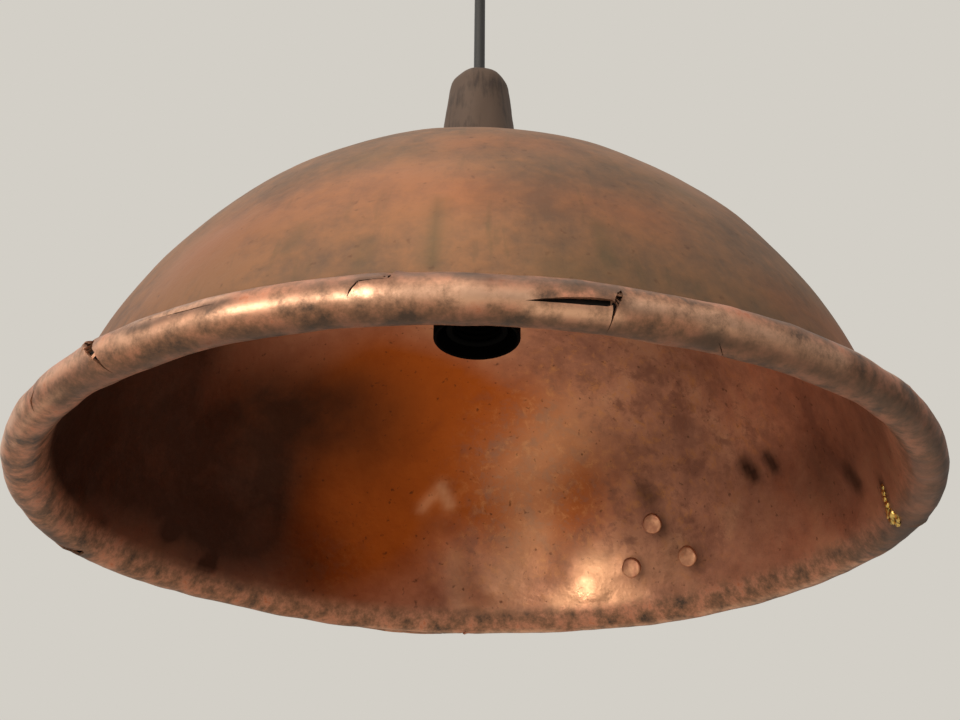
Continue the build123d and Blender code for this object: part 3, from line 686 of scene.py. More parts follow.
# ------------------------------------------------------------------ finishes
class Finish:
    """A material being made: each method adds a node and returns its output; sizes are metres."""

    def __init__(self, name):
        self.tones = bpy.context.scene.lamp_colours
        self.material = bpy.data.materials.new(name)
        self.material.use_nodes = True
        self.tree = self.material.node_tree
        self.tree.nodes.clear()
        self.shader = self.add("BsdfPrincipled")
        self.add("OutputMaterial", {"Surface": self.shader.outputs["BSDF"]})
        self.place = self.add("TexCoord").outputs["Object"]

    def add(self, kind, inputs=None, stops=(), **settings):
        """Any node of this material."""
        return node(self.tree, kind, inputs, stops, **settings)

    def painted(self, name):
        """Number painted on the mesh."""
        return self.add("Attribute", attribute_name=name).outputs["Fac"]

    def noise(self, size, detail, roughness=0.5, distortion=0.0, at=None):
        """Noise with one lump in each size."""
        return self.add("TexNoise", {"Vector": at or self.place, "Scale": 1 / size, "Detail": detail,
                                     "Roughness": roughness, "Distortion": distortion}).outputs["Fac"]

    def math(self, operation, *values, clamp=False):
        """Sum, product and the like of numbers."""
        return self.add("Math", dict(enumerate(values)), operation=operation, use_clamp=clamp).outputs[0]

    def times(self, value, by, clamp=False):
        """Product of two numbers."""
        return self.math("MULTIPLY", value, by, clamp=clamp)

    def spread(self, value, low, high, to_low=0.0, to_high=1.0):
        """Stretch the range from low to high over another range, and stop at its ends."""
        return self.add("MapRange", {"Value": value, "From Min": low, "From Max": high,
                                     "To Min": to_low, "To Max": to_high}).outputs[0]

    def ramp(self, value, *stops):
        """Colour that follows a value between stops (value, colour)."""
        return self.add("ValToRGB", {"Fac": value}, stops).outputs["Color"]

    def blend(self, share, low, high):
        """Low where the share is 0, high where it is 1."""
        high = high if isinstance(high, bpy.types.NodeSocket) else (*high, 1)
        return self.add("Mix", {0: share, 6: low, 7: high}, data_type="RGBA").outputs[2]

    def bump(self, height, strength, depth, below=None):
        """Relief of this depth, over another relief if one is given."""
        inputs = {"Height": height, "Strength": strength, "Distance": depth}
        if below:
            inputs["Normal"] = below
        return self.add("Bump", inputs).outputs["Normal"]

    def beaten(self):
        """Planishing marks 9 mm apart and a fine grain under them."""
        grain = self.bump(self.noise(0.0014, 3), 0.12, 0.0004)
        return self.bump(self.noise(0.009, 2), 0.22, 0.0015, grain)

    def shade(self, colour, roughness, metallic=0.0, relief=None, shine=0.5):
        """Feed the shader and hand the material over."""
        inputs = {"Base Color": colour, "Roughness": roughness, "Metallic": metallic,
                  "Specular IOR Level": shine}
        if relief:
            inputs["Normal"] = relief
        for name, value in inputs.items():
            feed(self.tree, self.shader.inputs[name], value)
        return self.material


def dome_copper():
    """Beaten copper with an old brown tarnish: dull tan, olive runs down the wall, satin sheen."""
    look = Finish("beaten_copper_brown_tarnish")
    tones = look.tones
    # clouds of tarnish about 60 mm across, broken up by mottling of 9 mm
    cloud = look.noise(0.06, 5, 0.55, 0.2)
    mixed = look.math("ADD", look.noise(0.009, 7, 0.7), cloud)
    body = look.ramp(look.times(mixed, 0.5), (0.38, tones.dome_brown), (0.58, tones.dome_tan))
    # runs follow the wall down: the direction from the axis, with the height squeezed
    apart = look.add("SeparateXYZ", {"Vector": look.place}).outputs
    flat = look.add("CombineXYZ", {"X": apart["X"], "Y": apart["Y"]}).outputs["Vector"]
    way = look.add("VectorMath", {0: flat}, operation="NORMALIZE").outputs["Vector"]
    drop = look.add("CombineXYZ", {"Z": apart["Z"]}).outputs["Vector"]
    squeezed = look.add("VectorMath", {0: way, 1: drop}, operation="ADD").outputs["Vector"]
    # a run is about 7 mm wide at the rim: the direction's circle has a radius of 1, not 0.2
    runs = look.spread(look.noise(0.007 / 0.2, 4, 0.6, at=squeezed), 0.6, 0.82)
    # dark runs, with painted shade in the crease above the rolled edge
    stain_and_crease_shade = look.times(look.times(look.painted("outside_soot_and_crease_shade"), cloud), 1.5)
    toned = look.blend(look.math("MULTIPLY_ADD", runs, 0.55, stain_and_crease_shade, clamp=True), body, tones.dome_olive)
    warmed = look.blend(look.times(look.painted("outside_polish"), cloud), toned, tones.warm_copper)
    # pin-head specks, at most one in 4 mm
    specks = look.spread(look.noise(0.004, 2), 0.66, 0.8, 0, 0.5)
    final = look.blend(specks, warmed, tones.dark_copper)
    return look.shade(final, look.spread(cloud, 0.3, 0.7, 0.62, 0.5), 0.7, look.beaten())


def kettle_copper():
    """The side that held the food: red brown and mottled, sooty with painted shade on one side, a painted
    highlight low on the far wall, rubbed on its edge with a painted highlight and painted shade there.
    """
    look = Finish("beaten_copper_mottled")
    tones = look.tones
    polish_and_painted_highlight, warm, busy, edge = [look.painted(name) for name in
                                ("inside_polish_and_highlight", "inside_warm", "inside_mottle", "edge")]
    # mottling about 40 mm across, broken up to a few millimetres
    mottle = look.noise(0.04, 8, 0.64, 0.15)
    body = look.ramp(mottle, (0.36, tones.brown_copper), (0.54, tones.red_copper),
                     (0.88, tones.bright_copper))
    film = look.blend(warm, body, tones.warm_copper)
    blotch = look.noise(0.013, 6, 0.66, 0.25)
    blotches = look.spread(blotch, 0.5, 0.64, 0, 0.85)
    stained = look.blend(look.times(blotches, busy), film, tones.brown_copper)
    # small worn spots let the metal through, at most one in 7.5 mm, with scum between them
    spot = look.noise(0.0075, 7, 0.72, 0.4)
    worn_through = look.times(look.spread(spot, 0.52, 0.68, 0, 0.7), busy)
    patched = look.blend(worn_through, stained, tones.golden_copper)
    scum = look.times(look.spread(spot, 0.46, 0.34, 0, 0.7), busy)
    patched = look.blend(scum, patched, tones.brown_copper)
    # rubbed places and the painted highlight low on the far wall break up along the mottling
    rubbed = look.times(look.math("MULTIPLY_ADD", polish_and_painted_highlight, mottle, polish_and_painted_highlight), 0.66, clamp=True)
    bright = look.blend(rubbed, patched, tones.bright_copper)
    broken = look.spread(mottle, 0.3, 0.7, 0.88, 1.1)
    # sooty stains, with painted shade on the left of the inside and painted shadows below the rivets
    soot_and_painted_shade = look.times(look.painted("inside_soot_and_shade"), broken, clamp=True)
    dark = look.blend(soot_and_painted_shade, bright, tones.dark_copper)
    # dark pits, at most one in 3.5 mm
    pits = look.spread(look.noise(0.0035, 2), 0.66, 0.76, 0, 0.6)
    pitted = look.blend(pits, dark, tones.dark_copper)
    # the rolled edge is handled: dull tarnish in places and painted shade underneath, rubbed pink along its
    # outer face with a painted highlight there
    worn = look.noise(0.011, 8, 0.72)
    lip = look.ramp(worn, (0.34, tones.edge_dark), (0.47, tones.edge_brown), (0.6, tones.red_copper),
                    (0.72, tones.warm_copper))
    # dull tarnish, and painted shade under the edge
    dull = look.times(look.painted("edge_dull_and_shade"), 0.9, clamp=True)
    shadowed = look.blend(dull, lip, tones.edge_dark)
    uneven = look.spread(worn, 0.36, 0.58, 0.2, 1.1)
    # rubbed bands, with the painted highlight along the outer face
    rub_and_painted_highlight = look.times(look.painted("edge_rub_and_highlight"), uneven, clamp=True)
    handled = look.blend(rub_and_painted_highlight, shadowed, tones.edge_pink)
    # rubbed copper is smooth metal, tarnish is rougher and hides the metal
    bare = look.add("Mix", {0: edge, 2: rubbed, 3: rub_and_painted_highlight}, data_type="FLOAT").outputs[0]
    grain = look.spread(blotch, 0.3, 0.7, 0.36, 0.52)
    rough = look.math("MULTIPLY_ADD", bare, -0.12, grain)
    metal = look.spread(look.math("MAXIMUM", bare, warm), 0, 1, 0.62, 0.97)
    return look.shade(look.blend(edge, pitted, handled), rough, metal, look.beaten())


def rusted_iron():
    """Forged iron rod, black with scale and rust: almost no shine."""
    look = Finish("forged_iron_scale")
    scale = look.noise(0.004, 5)
    tone = look.ramp(scale, (0.4, linear("#0b0807")), (0.75, linear("#2a1710")))
    return look.shade(tone, 0.85, relief=look.bump(scale, 0.5, 0.0005))


def cap_sheet():
    """Copper sheet oxidised to a matte brown, with upright scratches."""
    look = Finish("oxidised_copper_sheet")
    # scratches 3 mm apart, drawn out eight times along the height
    long = look.add("Mapping", {"Vector": look.place, "Scale": (1, 1, 0.12)}).outputs["Vector"]
    grain = look.noise(0.003, 5, 0.6, at=long)
    mixed = look.math("ADD", grain, look.noise(0.02, 4))
    tone = look.ramp(mixed, (0.75, linear("#3e3028")), (1.0, look.tones.cap_brown))
    return look.shade(tone, 0.62, 0.45, look.bump(grain, 0.25, 0.0004))


def brazing_brass():
    """Brazing brass run on and left rough: yellow, with a painted highlight on its lumps, dark in its
    hollows.
    """
    look = Finish("brazing_brass")
    spot = look.noise(0.0025, 4)
    tone = look.ramp(spot, (0.3, linear("#5a4420")), (0.5, look.tones.brass))
    return look.shade(tone, 0.28, 1.0, look.bump(spot, 0.5, 0.0006))


def kettle_rivet():
    """Copper rivet: pale where it is rubbed, red brown between."""
    look = Finish("hammered_copper_rivet")
    spot = look.noise(0.004, 5)
    tone = look.ramp(spot, (0.35, look.tones.red_copper), (0.75, look.tones.bright_copper))
    return look.shade(tone, 0.4, 0.8, look.bump(spot, 0.3, 0.0006))


def plain_finish(name, low, high, metallic, roughness, size, depth, shine=0.5):
    """A finish with a fine mottle of two tones, size in metres, and a bump of a given depth."""
    look = Finish(name)
    fleck = look.noise(size, 4)
    rough = look.spread(fleck, 0.3, 0.7, roughness - 0.05, roughness + 0.05)
    return look.shade(look.ramp(fleck, (0.35, low), (0.65, high)), rough, metallic,
                      look.bump(fleck, 0.3, depth), shine)


def shared_finish(name):
    """The plain finishes of the fittings, each made once."""
    if name in bpy.data.materials:
        return bpy.data.materials[name]
    # two tones, metallic, roughness, size and depth of the mottle, and the shine where it is low
    known = {
        # phenolic moulding: near black, smooth, a soft shine
        "phenolic_black": (linear("#020202"), linear("#040404"), 0, 0.75, 0.0012, 0.0001, 0.04),
        # PVC sheath: charcoal, slightly waxy
        "pvc_black": (linear("#141517"), bpy.context.scene.lamp_colours.cord, 0, 0.48, 0.0015, 0.0002),
        # rubber boot: dull charcoal
        "rubber_black": (linear("#101011"), linear("#1c1c1d"), 0, 0.66, 0.0012, 0.0002),
        # powder coat on spun steel: satin black with an orange-peel skin
        "powder_coat_black": (linear("#0e0e0f"), linear("#19191b"), 0, 0.5, 0.0018, 0.0003),
        # zinc plated steel: cool grey with a faint bloom
        "zinc_plated_steel": (linear("#8d8f8e"), linear("#bfc0be"), 1, 0.38, 0.003, 0.0001),
        # bright steel screws
        "bright_steel": (linear("#a2a2a0"), linear("#cfcfcc"), 1, 0.28, 0.002, 0.0001),
        # turned brass contacts
        "turned_brass": (linear("#a8874a"), linear("#d8bd7c"), 1, 0.3, 0.002, 0.0001),
        # polypropylene terminal block: milky white
        "polypropylene_white": (linear("#d5d2c8"), linear("#e6e3da"), 0, 0.45, 0.002, 0.0001),
        # core insulation
        "core_brown": (linear("#4b2a18"), linear("#5d3620"), 0, 0.45, 0.001, 0.0001),
        "core_blue": (linear("#1c3f86"), linear("#28509c"), 0, 0.45, 0.001, 0.0001),
    }
    return plain_finish(name, *known[name])


# ------------------------------------------------------------------ rivets and braze
class LAMP_OT_rivets(Operator):
    """Three hammered copper rivets left from the kettle's ear"""
    bl_idname = "lamp.rivets"
    bl_label = "Rivets"

    def execute(self, context):
        line = BowlLine(context.scene.lamp_bowl)
        sheet = context.scene.lamp_bowl.sheet
        bm = bmesh.new()
        for number, (azimuth, height) in enumerate(EAR_RIVETS):
            seat = line.on_wall(azimuth, height)
            lean = (seat.z - line.wall_centre.z) / line.wall
            normal = outwards(seat) * (1 - lean ** 2) ** 0.5 + Vector((0, 0, lean))
            dent = float(stroke_sum(np.array([seat]), DENTS, line)[0])
            seat = seat + normal * (dent + waves(seat, SHEET_WAVES)) * MM + sway(seat)
            turn = (-normal).to_track_quat("Z", "Y").to_matrix().to_4x4()
            place = Matrix.Translation(seat) @ turn
            above = Matrix.Translation((0, 0, sheet / 2))
            self.head(bm, place @ above, *INNER_HEAD, number)
            self.head(bm, place @ Matrix.Rotation(pi, 4, "X") @ above, *OUTER_HEAD, number + 5)
        make_piece("ear_rivets_hammered", bm, [kettle_rivet()], "lamp_head",
                   ["ear_rivets"], sharp=50)
        return {"FINISHED"}

    def head(self, bm, place, radius, rise, seed):
        """A flattened round head, radius and rise in mm: a disc with a soft edge and hammer facets."""
        radius, rise = radius * MM, rise * MM
        made = bmesh.ops.create_cone(bm, cap_ends=True, segments=28, radius1=radius,
                                     radius2=radius * 0.93, depth=rise + 1.2 * MM)
        verts = made["verts"]
        top = max(v.co.z for v in verts)
        lid = [f for f in {f for v in verts for f in v.link_faces}
               if all(v.co.z > top - 1e-6 for v in f.verts)]
        rim = [e for f in lid for e in f.edges]
        bevel = bmesh.ops.bevel(bm, geom=rim, offset=0.9 * MM, segments=3, affect="EDGES",
                                profile=0.5, material=-1)
        lid = [f for f in bm.faces if f.is_valid and len(f.verts) > 20
               and all(abs(v.co.z - top) < 1e-5 for v in f.verts)]
        for share in (0.3, 0.45, 0.7):
            bmesh.ops.inset_region(bm, faces=lid, thickness=radius * 0.22 * (1 - share * 0.4),
                                   depth=0.12 * MM)
        part = self.island(verts[0] if verts[0].is_valid else bevel["verts"][0])
        for vertex in part:
            vertex.co.z -= top - rise
            bump = waves(vertex.co, [(4, 0.22, (seed, 0, 0))]) * MM
            flat = Vector((vertex.co.x, vertex.co.y, 0))
            vertex.co += Vector((0, 0, bump)) + flat * waves(flat, [(6, 0.07, (seed, 4, 0))])
            vertex.co = place @ vertex.co

    def island(self, start):
        """Every vertex joined to this one by edges."""
        found, todo = {start}, [start]
        while todo:
            for edge in todo.pop().link_edges:
                for vertex in edge.verts:
                    if vertex not in found:
                        found.add(vertex)
                        todo.append(vertex)
        return found


class LAMP_OT_braze(Operator):
    """Brazed repair: beads of brass run down the flare over the crack at the right"""
    bl_idname = "lamp.braze"
    bl_label = "Braze"

    def execute(self, context):
        line = BowlLine(context.scene.lamp_bowl)
        bm = bmesh.new()
        for number, (azimuth, height, size) in enumerate(BRAZE_BEADS):
            seat = self.flare_point(line, azimuth, height)
            made = bmesh.ops.create_icosphere(bm, subdivisions=3, radius=size * BEAD_SPREAD * MM,
                                              matrix=Matrix.Translation(seat))
            inward = -around(1, azimuth, 0)
            for vertex in made["verts"]:
                away = vertex.co - seat
                away -= inward * away.dot(inward) * BEAD_FLATTENING
                vertex.co = seat + away * (1 + waves(vertex.co, [(1.6, 0.35, (number, 0, 0))]))
        make_piece("brazed_repair_beads", bm, [brazing_brass()], "lamp_head",
                   ["braze_repair"], sharp=60)
        return {"FINISHED"}

    def flare_point(self, line, azimuth, height):
        """Point on the inner side of the flare or the roll at this height."""
        z = RIM_Z + height * MM
        if z > line.flare_start.z:
            r = hypot(*line.on_wall(0, height).xy)
        elif z > line.roll_start.z:
            size = (line.flare_centre - line.flare_start).length
            r = line.flare_centre.x - (size ** 2 - (z - line.flare_centre.z) ** 2) ** 0.5
        else:
            r = RIM_RADIUS - (line.roll ** 2 - (z - RIM_Z) ** 2) ** 0.5
        point = around(r, azimuth, z)
        return point + sway(point)


# ------------------------------------------------------------------ cap
class LAMP_OT_cap(Operator):
    """Brown sheet cap that stands on the crown and hides the cord grip"""
    bl_idname = "lamp.cap"
    bl_label = "Cap"

    def execute(self, context):
        sizes = context.scene.lamp_fittings
        half = sizes.cap_wall / 2
        base, top = cap_low.z, cap_high.z - half
        foot, head = cap_high.x - half, sizes.cap_top - half
        slope = atan2(foot - head, top - base)
        rise = Vector((-sin(slope), 0, cos(slope)))
        round_off = sizes.cap_shoulder - half
        start = Vector((head, 0, top)) - rise * round_off * tan((pi / 2 - slope) / 2)
        centre = start + Vector((-cos(slope), 0, -sin(slope))) * round_off
        bm = bmesh.new()
        last = run_to(bm, None, (foot, base), (start.x, start.z, 26))
        last = carry(bm, last, centre, pi / 2 - slope, 8)
        run_to(bm, last, (bush_high.x - 1.4 * MM, top, 1))
        full_spin(bm, 72)
        for vertex in bm.verts:
            turn = atan2(vertex.co.y, vertex.co.x)
            share = smooth(vertex.co.xy.length, 8 * MM, 14 * MM)
            facet = ripple([(0.22, 7, 0.6)], turn) + waves(vertex.co, CAP_BRUISES)
            seam = 0.5 * smooth(0.10 - abs(turn - 1.9), 0.0, 0.06)
            vertex.co += outwards(vertex.co) * (facet + seam) * MM * share
        make_piece("cap_rolled_sheet", bm, [cap_sheet()], "cap", ["top_cap"],
                   wall=sizes.cap_wall)
        return {"FINISHED"}


# ------------------------------------------------------------------ cord and strain relief
class LAMP_OT_cord(Operator):
    """Black round cord, taut under the lamp, and the ribbed boot at its top"""
    bl_idname = "lamp.cord"
    bl_label = "Cord"

    def execute(self, context):
        # the route of the hanging cord, then the straight end inside the boot
        route = [(0, 0, -0.26989), (0, 0, -0.225), (0, 0, -0.180), (0, 0, -0.135), (0, 0, -0.092648)]
        curve = bpy.data.curves.new("cord_route", "CURVE")
        curve.dimensions = "3D"
        spline = curve.splines.new("NURBS")
        ends = route + [(0, 0, boot_high.z)]
        spline.points.add(len(ends) - 1)
        for point, place in zip(spline.points, ends):
            point.co = (*place, 1)
        spline.order_u = 3
        spline.use_endpoint_u = True
        spline.resolution_u = 24
        carrier = bpy.data.objects.new("cord_route", curve)
        bpy.context.scene.collection.objects.link(carrier)
        path = [v.co.copy() for v in bpy.data.meshes.new_from_object(carrier).vertices]
        curve.bevel_depth = CORD_RADIUS
        curve.bevel_resolution = 8
        curve.use_fill_caps = True
        context.view_layer.update()
        found = carrier.evaluated_get(context.evaluated_depsgraph_get())
        bm = bmesh.new()
        bm.from_mesh(bpy.data.meshes.new_from_object(found))
        bmesh.ops.remove_doubles(bm, verts=bm.verts, dist=1e-7)
        bmesh.ops.recalc_face_normals(bm, faces=bm.faces)
        bpy.data.objects.remove(carrier)
        flex = make_piece("round_flex", bm, [shared_finish("pvc_black")], None,
                          ["suspension_cord", "cord_in_boot"])
        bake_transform(flex)
        self.boot(context.scene.lamp_fittings)
        return {"FINISHED"}

    def boot(self, sizes):
        """Tapered rubber sleeve with rings, closed up to the gland above it."""
        bm = bmesh.new()
        top, bottom = gland_low.z + 0.3 * MM, boot_low.z
        wide, narrow = boot_high.x - 0.1 * MM, CORD_RADIUS + 1.3 * MM
        bore = CORD_RADIUS + CLEARANCE
        last = run_to(bm, None, (bore, top), (wide, top), (wide, boot_high.z - 3 * MM))
        rings = sizes.boot_rings
        pitch = (last.co.z - bottom) / rings
        for ring in range(rings):
            share = (ring + 1) / rings
            outer = wide + (narrow - wide) * share
            z = last.co.z
            last = run_to(bm, last, (outer - 0.7 * MM, z - pitch * 0.12),
                          (outer - 0.7 * MM, z - pitch * 0.38), (outer, z - pitch * 0.5),
                          (outer, z - pitch))
        run_to(bm, last, (bore, bottom), (bore, top, 12))
        full_spin(bm, 48)
        boot = make_piece("ribbed_boot", bm, [shared_finish("rubber_black")], None,
                          ["strain_relief_boot"], sharp=35)
        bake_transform(boot)


# ------------------------------------------------------------------ lampholder
class LAMP_OT_holder(Operator):
    """Moulded black lampholder: dome, ribbed skirt and threaded sleeve"""
    bl_idname = "lamp.holder"
    bl_label = "Lampholder"

    def execute(self, context):
        sizes = context.scene.lamp_fittings
        black = shared_finish("phenolic_black")
        self.skirt(sizes, black)
        self.dome(sizes, black)
        self.sleeve(sizes, black)
        return {"FINISHED"}

    def skirt(self, sizes, black):
        """A tube with a round lip, and grip ribs round its upper half."""
        bm = bmesh.new()
        outer, wall = skirt_high.x, sizes.skirt_wall
        inner = outer - wall
        low, high = skirt_low.z, skirt_high.z
        last = run_to(bm, None, (inner, high), (inner, low + wall / 2, 8))
        last = carry(bm, last, Vector((inner + wall / 2, 0, low + wall / 2)), pi, 8)
        run_to(bm, last, (outer, high, 24), (inner, high))
        full_spin(bm, 160)
        for vertex in bm.verts:
            if vertex.co.xy.length > outer - 1e-5:
                zone = smooth(vertex.co.z, low + 14 * MM, low + 17 * MM)
                zone *= 1 - smooth(vertex.co.z, high - 5 * MM, high - 3 * MM)
                flute(vertex, 40, 0.55 * MM * zone)
        make_piece("holder_skirt_ribbed", bm, [black], "lamp_head",
                   ["holder_skirt"], sharp=50)

    def dome(self, sizes, black):
        """The dome over the contacts, with its neck round the hollow tube."""
        bm = bmesh.new()
        outer, wall = dome_high.x, sizes.skirt_wall
        neck, bore = TUBE_RADIUS + 3 * MM, TUBE_RADIUS + CLEARANCE
        low, high = dome_low.z, dome_high.z
        shelf = high - 9 * MM
        last = run_to(bm, None, (outer - wall, low), (outer, low), (outer, low + 3 * MM, 1))
        last = carry(bm, last, Vector((outer - 3 * MM, 0, low + 3 * MM)), radians(52), 6)
        run_to(bm, last, (neck + 2 * MM, shelf - 0.6 * MM, 5), (neck, shelf + 1.4 * MM, 1),
               (neck, high - 0.6 * MM, 4), (neck - 0.6 * MM, high), (bore, high),
               (bore, shelf - wall, 3), (outer - wall - 1.5 * MM, low + 3.5 * MM, 3),
               (outer - wall, low))
        full_spin(bm, 96)
        make_piece("holder_dome_moulded", bm, [black], "lamp_head",
                   ["holder_dome"], sharp=35)

    def sleeve(self, sizes, black):
        """The sleeve that the bulb screws into: a rounded thread inside a plain tube."""
        bm = bmesh.new()
        wide = sleeve_high.x
        bore = 13.2 * MM
        low, high = sleeve_low.z, sleeve_high.z
        pitch = sizes.thread_pitch
        base = bore + 3.4 * MM
        last = run_to(bm, None, (base, low), (bore + 1.2 * MM, low), (bore + 0.5 * MM, low + 0.5 * MM))
        for step in range(6 * 6):
            z = low + 0.5 * MM + (step + 1) * pitch / 6
            if z > low + 19.6 * MM:
                break
            last = run_to(bm, last, (bore + 0.75 * MM * (0.5 - 0.5 * cos(step * pi / 3)), z))
        shelf = low + 20 * MM
        run_to(bm, last, (bore + 1.3 * MM, shelf), (bore + 1.3 * MM, high, 2), (wide, high),
               (wide, shelf, 2), (base, shelf), (base, low, 4))
        full_spin(bm, 96)
        make_piece("thread_sleeve_moulded", bm, [black], "lamp_head",
                   ["thread_sleeve"], sharp=60)


# ------------------------------------------------------------------ ceiling rose
class LAMP_OT_ceiling_cup(Operator):
    """Spun ceiling cup and the gland under it"""
    bl_idname = "lamp.ceiling_cup"
    bl_label = "Ceiling cup"

    def execute(self, context):
        sizes = context.scene.lamp_fittings
        half = sizes.cup_wall / 2
        outer, bottom = cup_high.x - half, cup_low.z + half
        edge = -sizes.cup_straight
        bm = bmesh.new()
        last = run_to(bm, None, (outer, cup_high.z), (outer, edge + 4 * MM, 4))
        slope = atan2(edge - bottom, outer - sizes.cup_bottom)
        last = carry(bm, last, Vector((outer - 7 * MM, 0, edge + 4 * MM)), -(pi / 2 - slope), 8)
        run_to(bm, last, (sizes.cup_bottom + 2 * MM, bottom + 1.6 * MM, 12),
               (sizes.cup_bottom - 2 * MM, bottom), (CORD_RADIUS + 2.7 * MM, bottom, 2))
        full_spin(bm, 96)
        make_piece("spun_ceiling_cup", bm, [shared_finish("powder_coat_black")], "ceiling_rose",
                   ["canopy_cup"], wall=sizes.cup_wall, sharp=60)
        self.gland()
        return {"FINISHED"}

    def gland(self):
        """Moulded gland: a fluted boss below the cup, and a threaded part inside it."""
        bm = bmesh.new()
        bore = CORD_RADIUS + CLEARANCE
        flange, inner = gland_high.x, CORD_RADIUS + 2.45 * MM
        boss = CORD_RADIUS + 4.5 * MM
        low, high, floor = gland_low.z, gland_high.z, cup_low.z
        last = run_to(bm, None, (bore, low), (boss - 0.8 * MM, low), (boss, low + 0.8 * MM),
                      (boss, floor - 4.4 * MM, 6), (flange - 0.8 * MM, floor - 4 * MM),
                      (flange, floor - 3.2 * MM), (flange, floor, 2), (inner, floor))
        for ridge in range(9):
            z = floor + (ridge + 0.5) * MM
            last = run_to(bm, last, (inner - 0.35 * MM, z), (inner, z + 0.5 * MM))
        run_to(bm, last, (bore, high), (bore, low, 4))
        full_spin(bm, 72)
        for vertex in bm.verts:
            if abs(vertex.co.xy.length - boss) < 1e-5 and vertex.co.z < floor:
                flute(vertex, 18, 0.5 * MM)
        make_piece("fluted_gland", bm, [shared_finish("phenolic_black")], "ceiling_rose",
                   ["cord_gland"], sharp=45)


class LAMP_OT_fittings(Operator):
    """Give the small fittings that keep their own shape their finishes"""
    bl_idname = "lamp.fittings"
    bl_label = "Fittings"

    def execute(self, context):
        finishes = {
            "zinc_plated_steel": ["hollow_tube", "crown_washers", "tube_nuts", "mounting_bar", "gland_nut"],
            "bright_steel": ["canopy_screws", "terminal_screws", "holder_terminals", "grip_screw",
                             "gland_screw"],
            "turned_brass": ["terminal_tubes", "centre_contact", "side_contact"],
            "phenolic_black": ["contact_block", "cord_grip"],
            "pvc_black": ["cord_in_cup"],
            "rubber_black": ["cap_bush"],
            "polypropylene_white": ["terminal_block"],
            "core_brown": ["live_core", "cup_live_core"],
            "core_blue": ["neutral_core", "cup_neutral_core"],
        }
        for name, nodes in finishes.items():
            for part in nodes:
                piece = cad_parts[part]
                for slot in piece.material_slots:
                    slot.link = "OBJECT"
                    slot.material = shared_finish(name)
                if not piece.material_slots:
                    piece.data.materials.append(shared_finish(name))
        return {"FINISHED"}


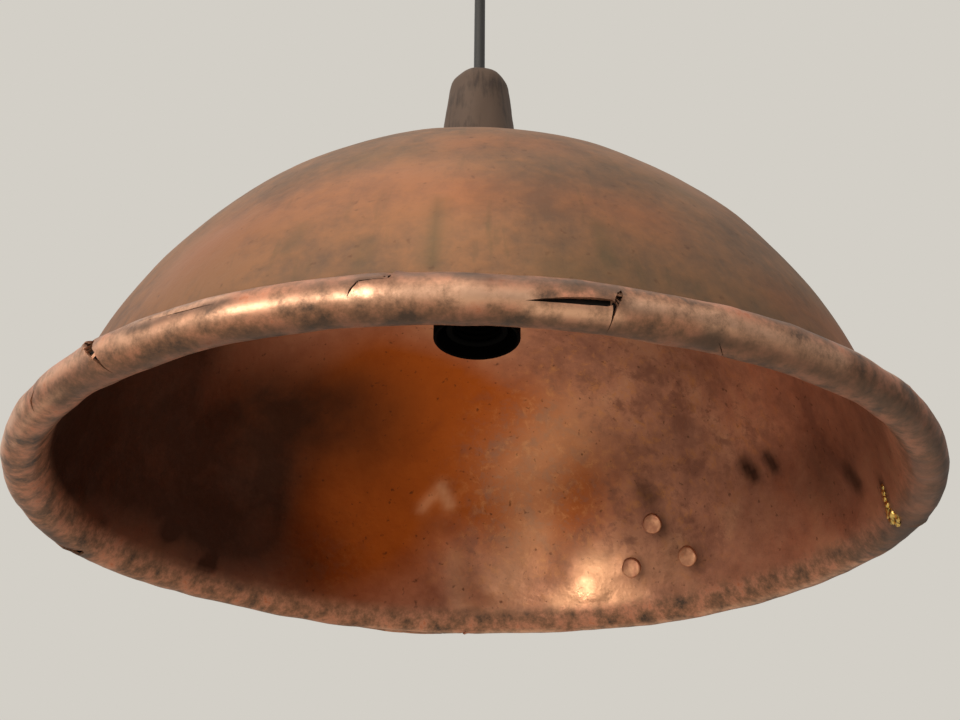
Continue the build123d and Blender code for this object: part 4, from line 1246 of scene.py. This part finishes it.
# ------------------------------------------------------------------ stage
class LAMP_OT_stage(Operator):
    """Camera, soft lights, plain backdrop and pale floor"""
    bl_idname = "lamp.stage"
    bl_label = "Stage"

    def execute(self, context):
        settings = context.scene.lamp_stage
        self.camera(context)
        self.world(context, settings)
        self.light("window_light", place=(-1.55, -1.95, -0.45), target=(0.05, 0.1, -0.42), size=1.1,
                   power=settings.key_power, code="#fff4e6")
        self.light("ceiling_bounce", place=(-0.5, -0.9, 1.6), target=(0, 0, -0.4), size=1.8,
                   power=settings.bounce_power, code="#fff1e0")
        bm = bmesh.new()
        bmesh.ops.create_grid(bm, x_segments=1, y_segments=1, size=5,
                              matrix=Matrix.Translation((0, 0, -settings.floor_drop)))
        mesh = bpy.data.meshes.new("floor")
        bm.to_mesh(mesh)
        bm.free()
        floor = bpy.data.objects.new("floor", mesh)
        context.scene.collection.objects.link(floor)
        # matt painted floor: plain and pale
        mesh.materials.append(Finish("matt_floor_paint").shade((*settings.floor, 1), 0.9))
        return {"FINISHED"}

    def camera(self, context):
        """Low in front of the lamp, looking up into the bowl."""
        pitch, yaw, roll = radians(28.211), radians(0.067), radians(0.4)
        forward = Vector((sin(yaw) * cos(pitch), cos(yaw) * cos(pitch), sin(pitch)))
        level = Vector((cos(yaw), -sin(yaw), 0))
        up = level.cross(forward)
        right = cos(roll) * level + sin(roll) * up
        top = cos(roll) * up - sin(roll) * level
        lens = bpy.data.cameras.new("camera")
        lens.lens = 36
        lens.sensor_width = 36
        lens.clip_start = 0.01
        camera = bpy.data.objects.new("camera", lens)
        context.scene.collection.objects.link(camera)
        turned = Matrix((right, top, -forward)).transposed().to_4x4()
        camera.matrix_world = Matrix.Translation((0.0012, -0.4505, RIM_Z - 0.1515)) @ turned
        context.scene.camera = camera

    def world(self, context, settings):
        """Plain backdrop; the light it gives comes mostly from above and from the left."""
        world = bpy.data.worlds.new("studio")
        world.use_nodes = True
        context.scene.world = world
        tree = world.node_tree
        tree.nodes.clear()
        way = node(tree, "TexCoord").outputs["Generated"]
        sky = Vector((-0.42, -0.3, 0.86)).normalized()
        facing = node(tree, "VectorMath", {0: way, 1: sky}, operation="DOT_PRODUCT")
        ramp = node(tree, "MapRange", {"Value": facing.outputs["Value"], "From Min": -1.0, "From Max": 1.0})
        glow = node(tree, "ValToRGB", {"Fac": ramp.outputs[0]}, [
            (0.0, (0.07, 0.063, 0.057)), (0.5, (0.34, 0.32, 0.3)), (0.78, (0.76, 0.71, 0.65)),
            (1.0, (1.0, 0.95, 0.88))])
        light, backdrop = [node(tree, "Background", {"Color": tone}).outputs["Background"]
                           for tone in (glow.outputs["Color"], (*settings.backdrop, 1))]
        seen = node(tree, "LightPath").outputs["Is Camera Ray"]
        both = node(tree, "MixShader", {0: seen, 1: light, 2: backdrop})
        node(tree, "OutputWorld", {"Surface": both.outputs[0]})
        context.scene.view_settings.view_transform = "Standard"

    def light(self, name, place, target, size, power, code):
        """A square soft light aimed at a point."""
        lamp = bpy.data.lights.new(name, "AREA")
        lamp.size = size
        lamp.energy = power
        lamp.color = linear(code)
        holder = bpy.data.objects.new(name, lamp)
        bpy.context.scene.collection.objects.link(holder)
        holder.location = place
        holder.rotation_euler = (Vector(target) - Vector(place)).to_track_quat("-Z", "Y").to_euler()


# ------------------------------------------------------------------ add-on
OPERATORS = [LAMP_OT_stage, LAMP_OT_cord, LAMP_OT_bowl, LAMP_OT_rivets, LAMP_OT_braze, LAMP_OT_cap,
             LAMP_OT_holder, LAMP_OT_ceiling_cup, LAMP_OT_fittings]
SETTINGS = {"lamp_bowl": LampBowlSettings, "lamp_fittings": LampFittingSettings,
            "lamp_colours": LampColours, "lamp_stage": LampStageSettings}


class LAMP_PT_panel(Panel):
    """Sizes, colours and the pieces in the order they are built"""
    bl_idname = "LAMP_PT_panel"
    bl_label = "Kettle Lamp"
    bl_space_type = "VIEW_3D"
    bl_region_type = "UI"
    bl_category = "Kettle Lamp"

    def draw(self, context):
        for name, group in SETTINGS.items():
            box = self.layout.box()
            for prop in group.__annotations__:
                box.prop(getattr(context.scene, name), prop)
        for operator in OPERATORS:
            self.layout.operator(operator.bl_idname)


def register():
    for group in SETTINGS.values():
        bpy.utils.register_class(group)
    for name, group in SETTINGS.items():
        setattr(bpy.types.Scene, name, PointerProperty(type=group))
    for operator in OPERATORS + [LAMP_PT_panel]:
        bpy.utils.register_class(operator)


def unregister():
    for operator in OPERATORS + [LAMP_PT_panel]:
        bpy.utils.unregister_class(operator)
    for name, group in SETTINGS.items():
        delattr(bpy.types.Scene, name)
        bpy.utils.unregister_class(group)


def main():
    """Build every piece in order."""
    register()
    for operator in OPERATORS:
        family, name = operator.bl_idname.split(".")
        getattr(getattr(bpy.ops, family), name)()


if __name__ == "__main__":
    main()
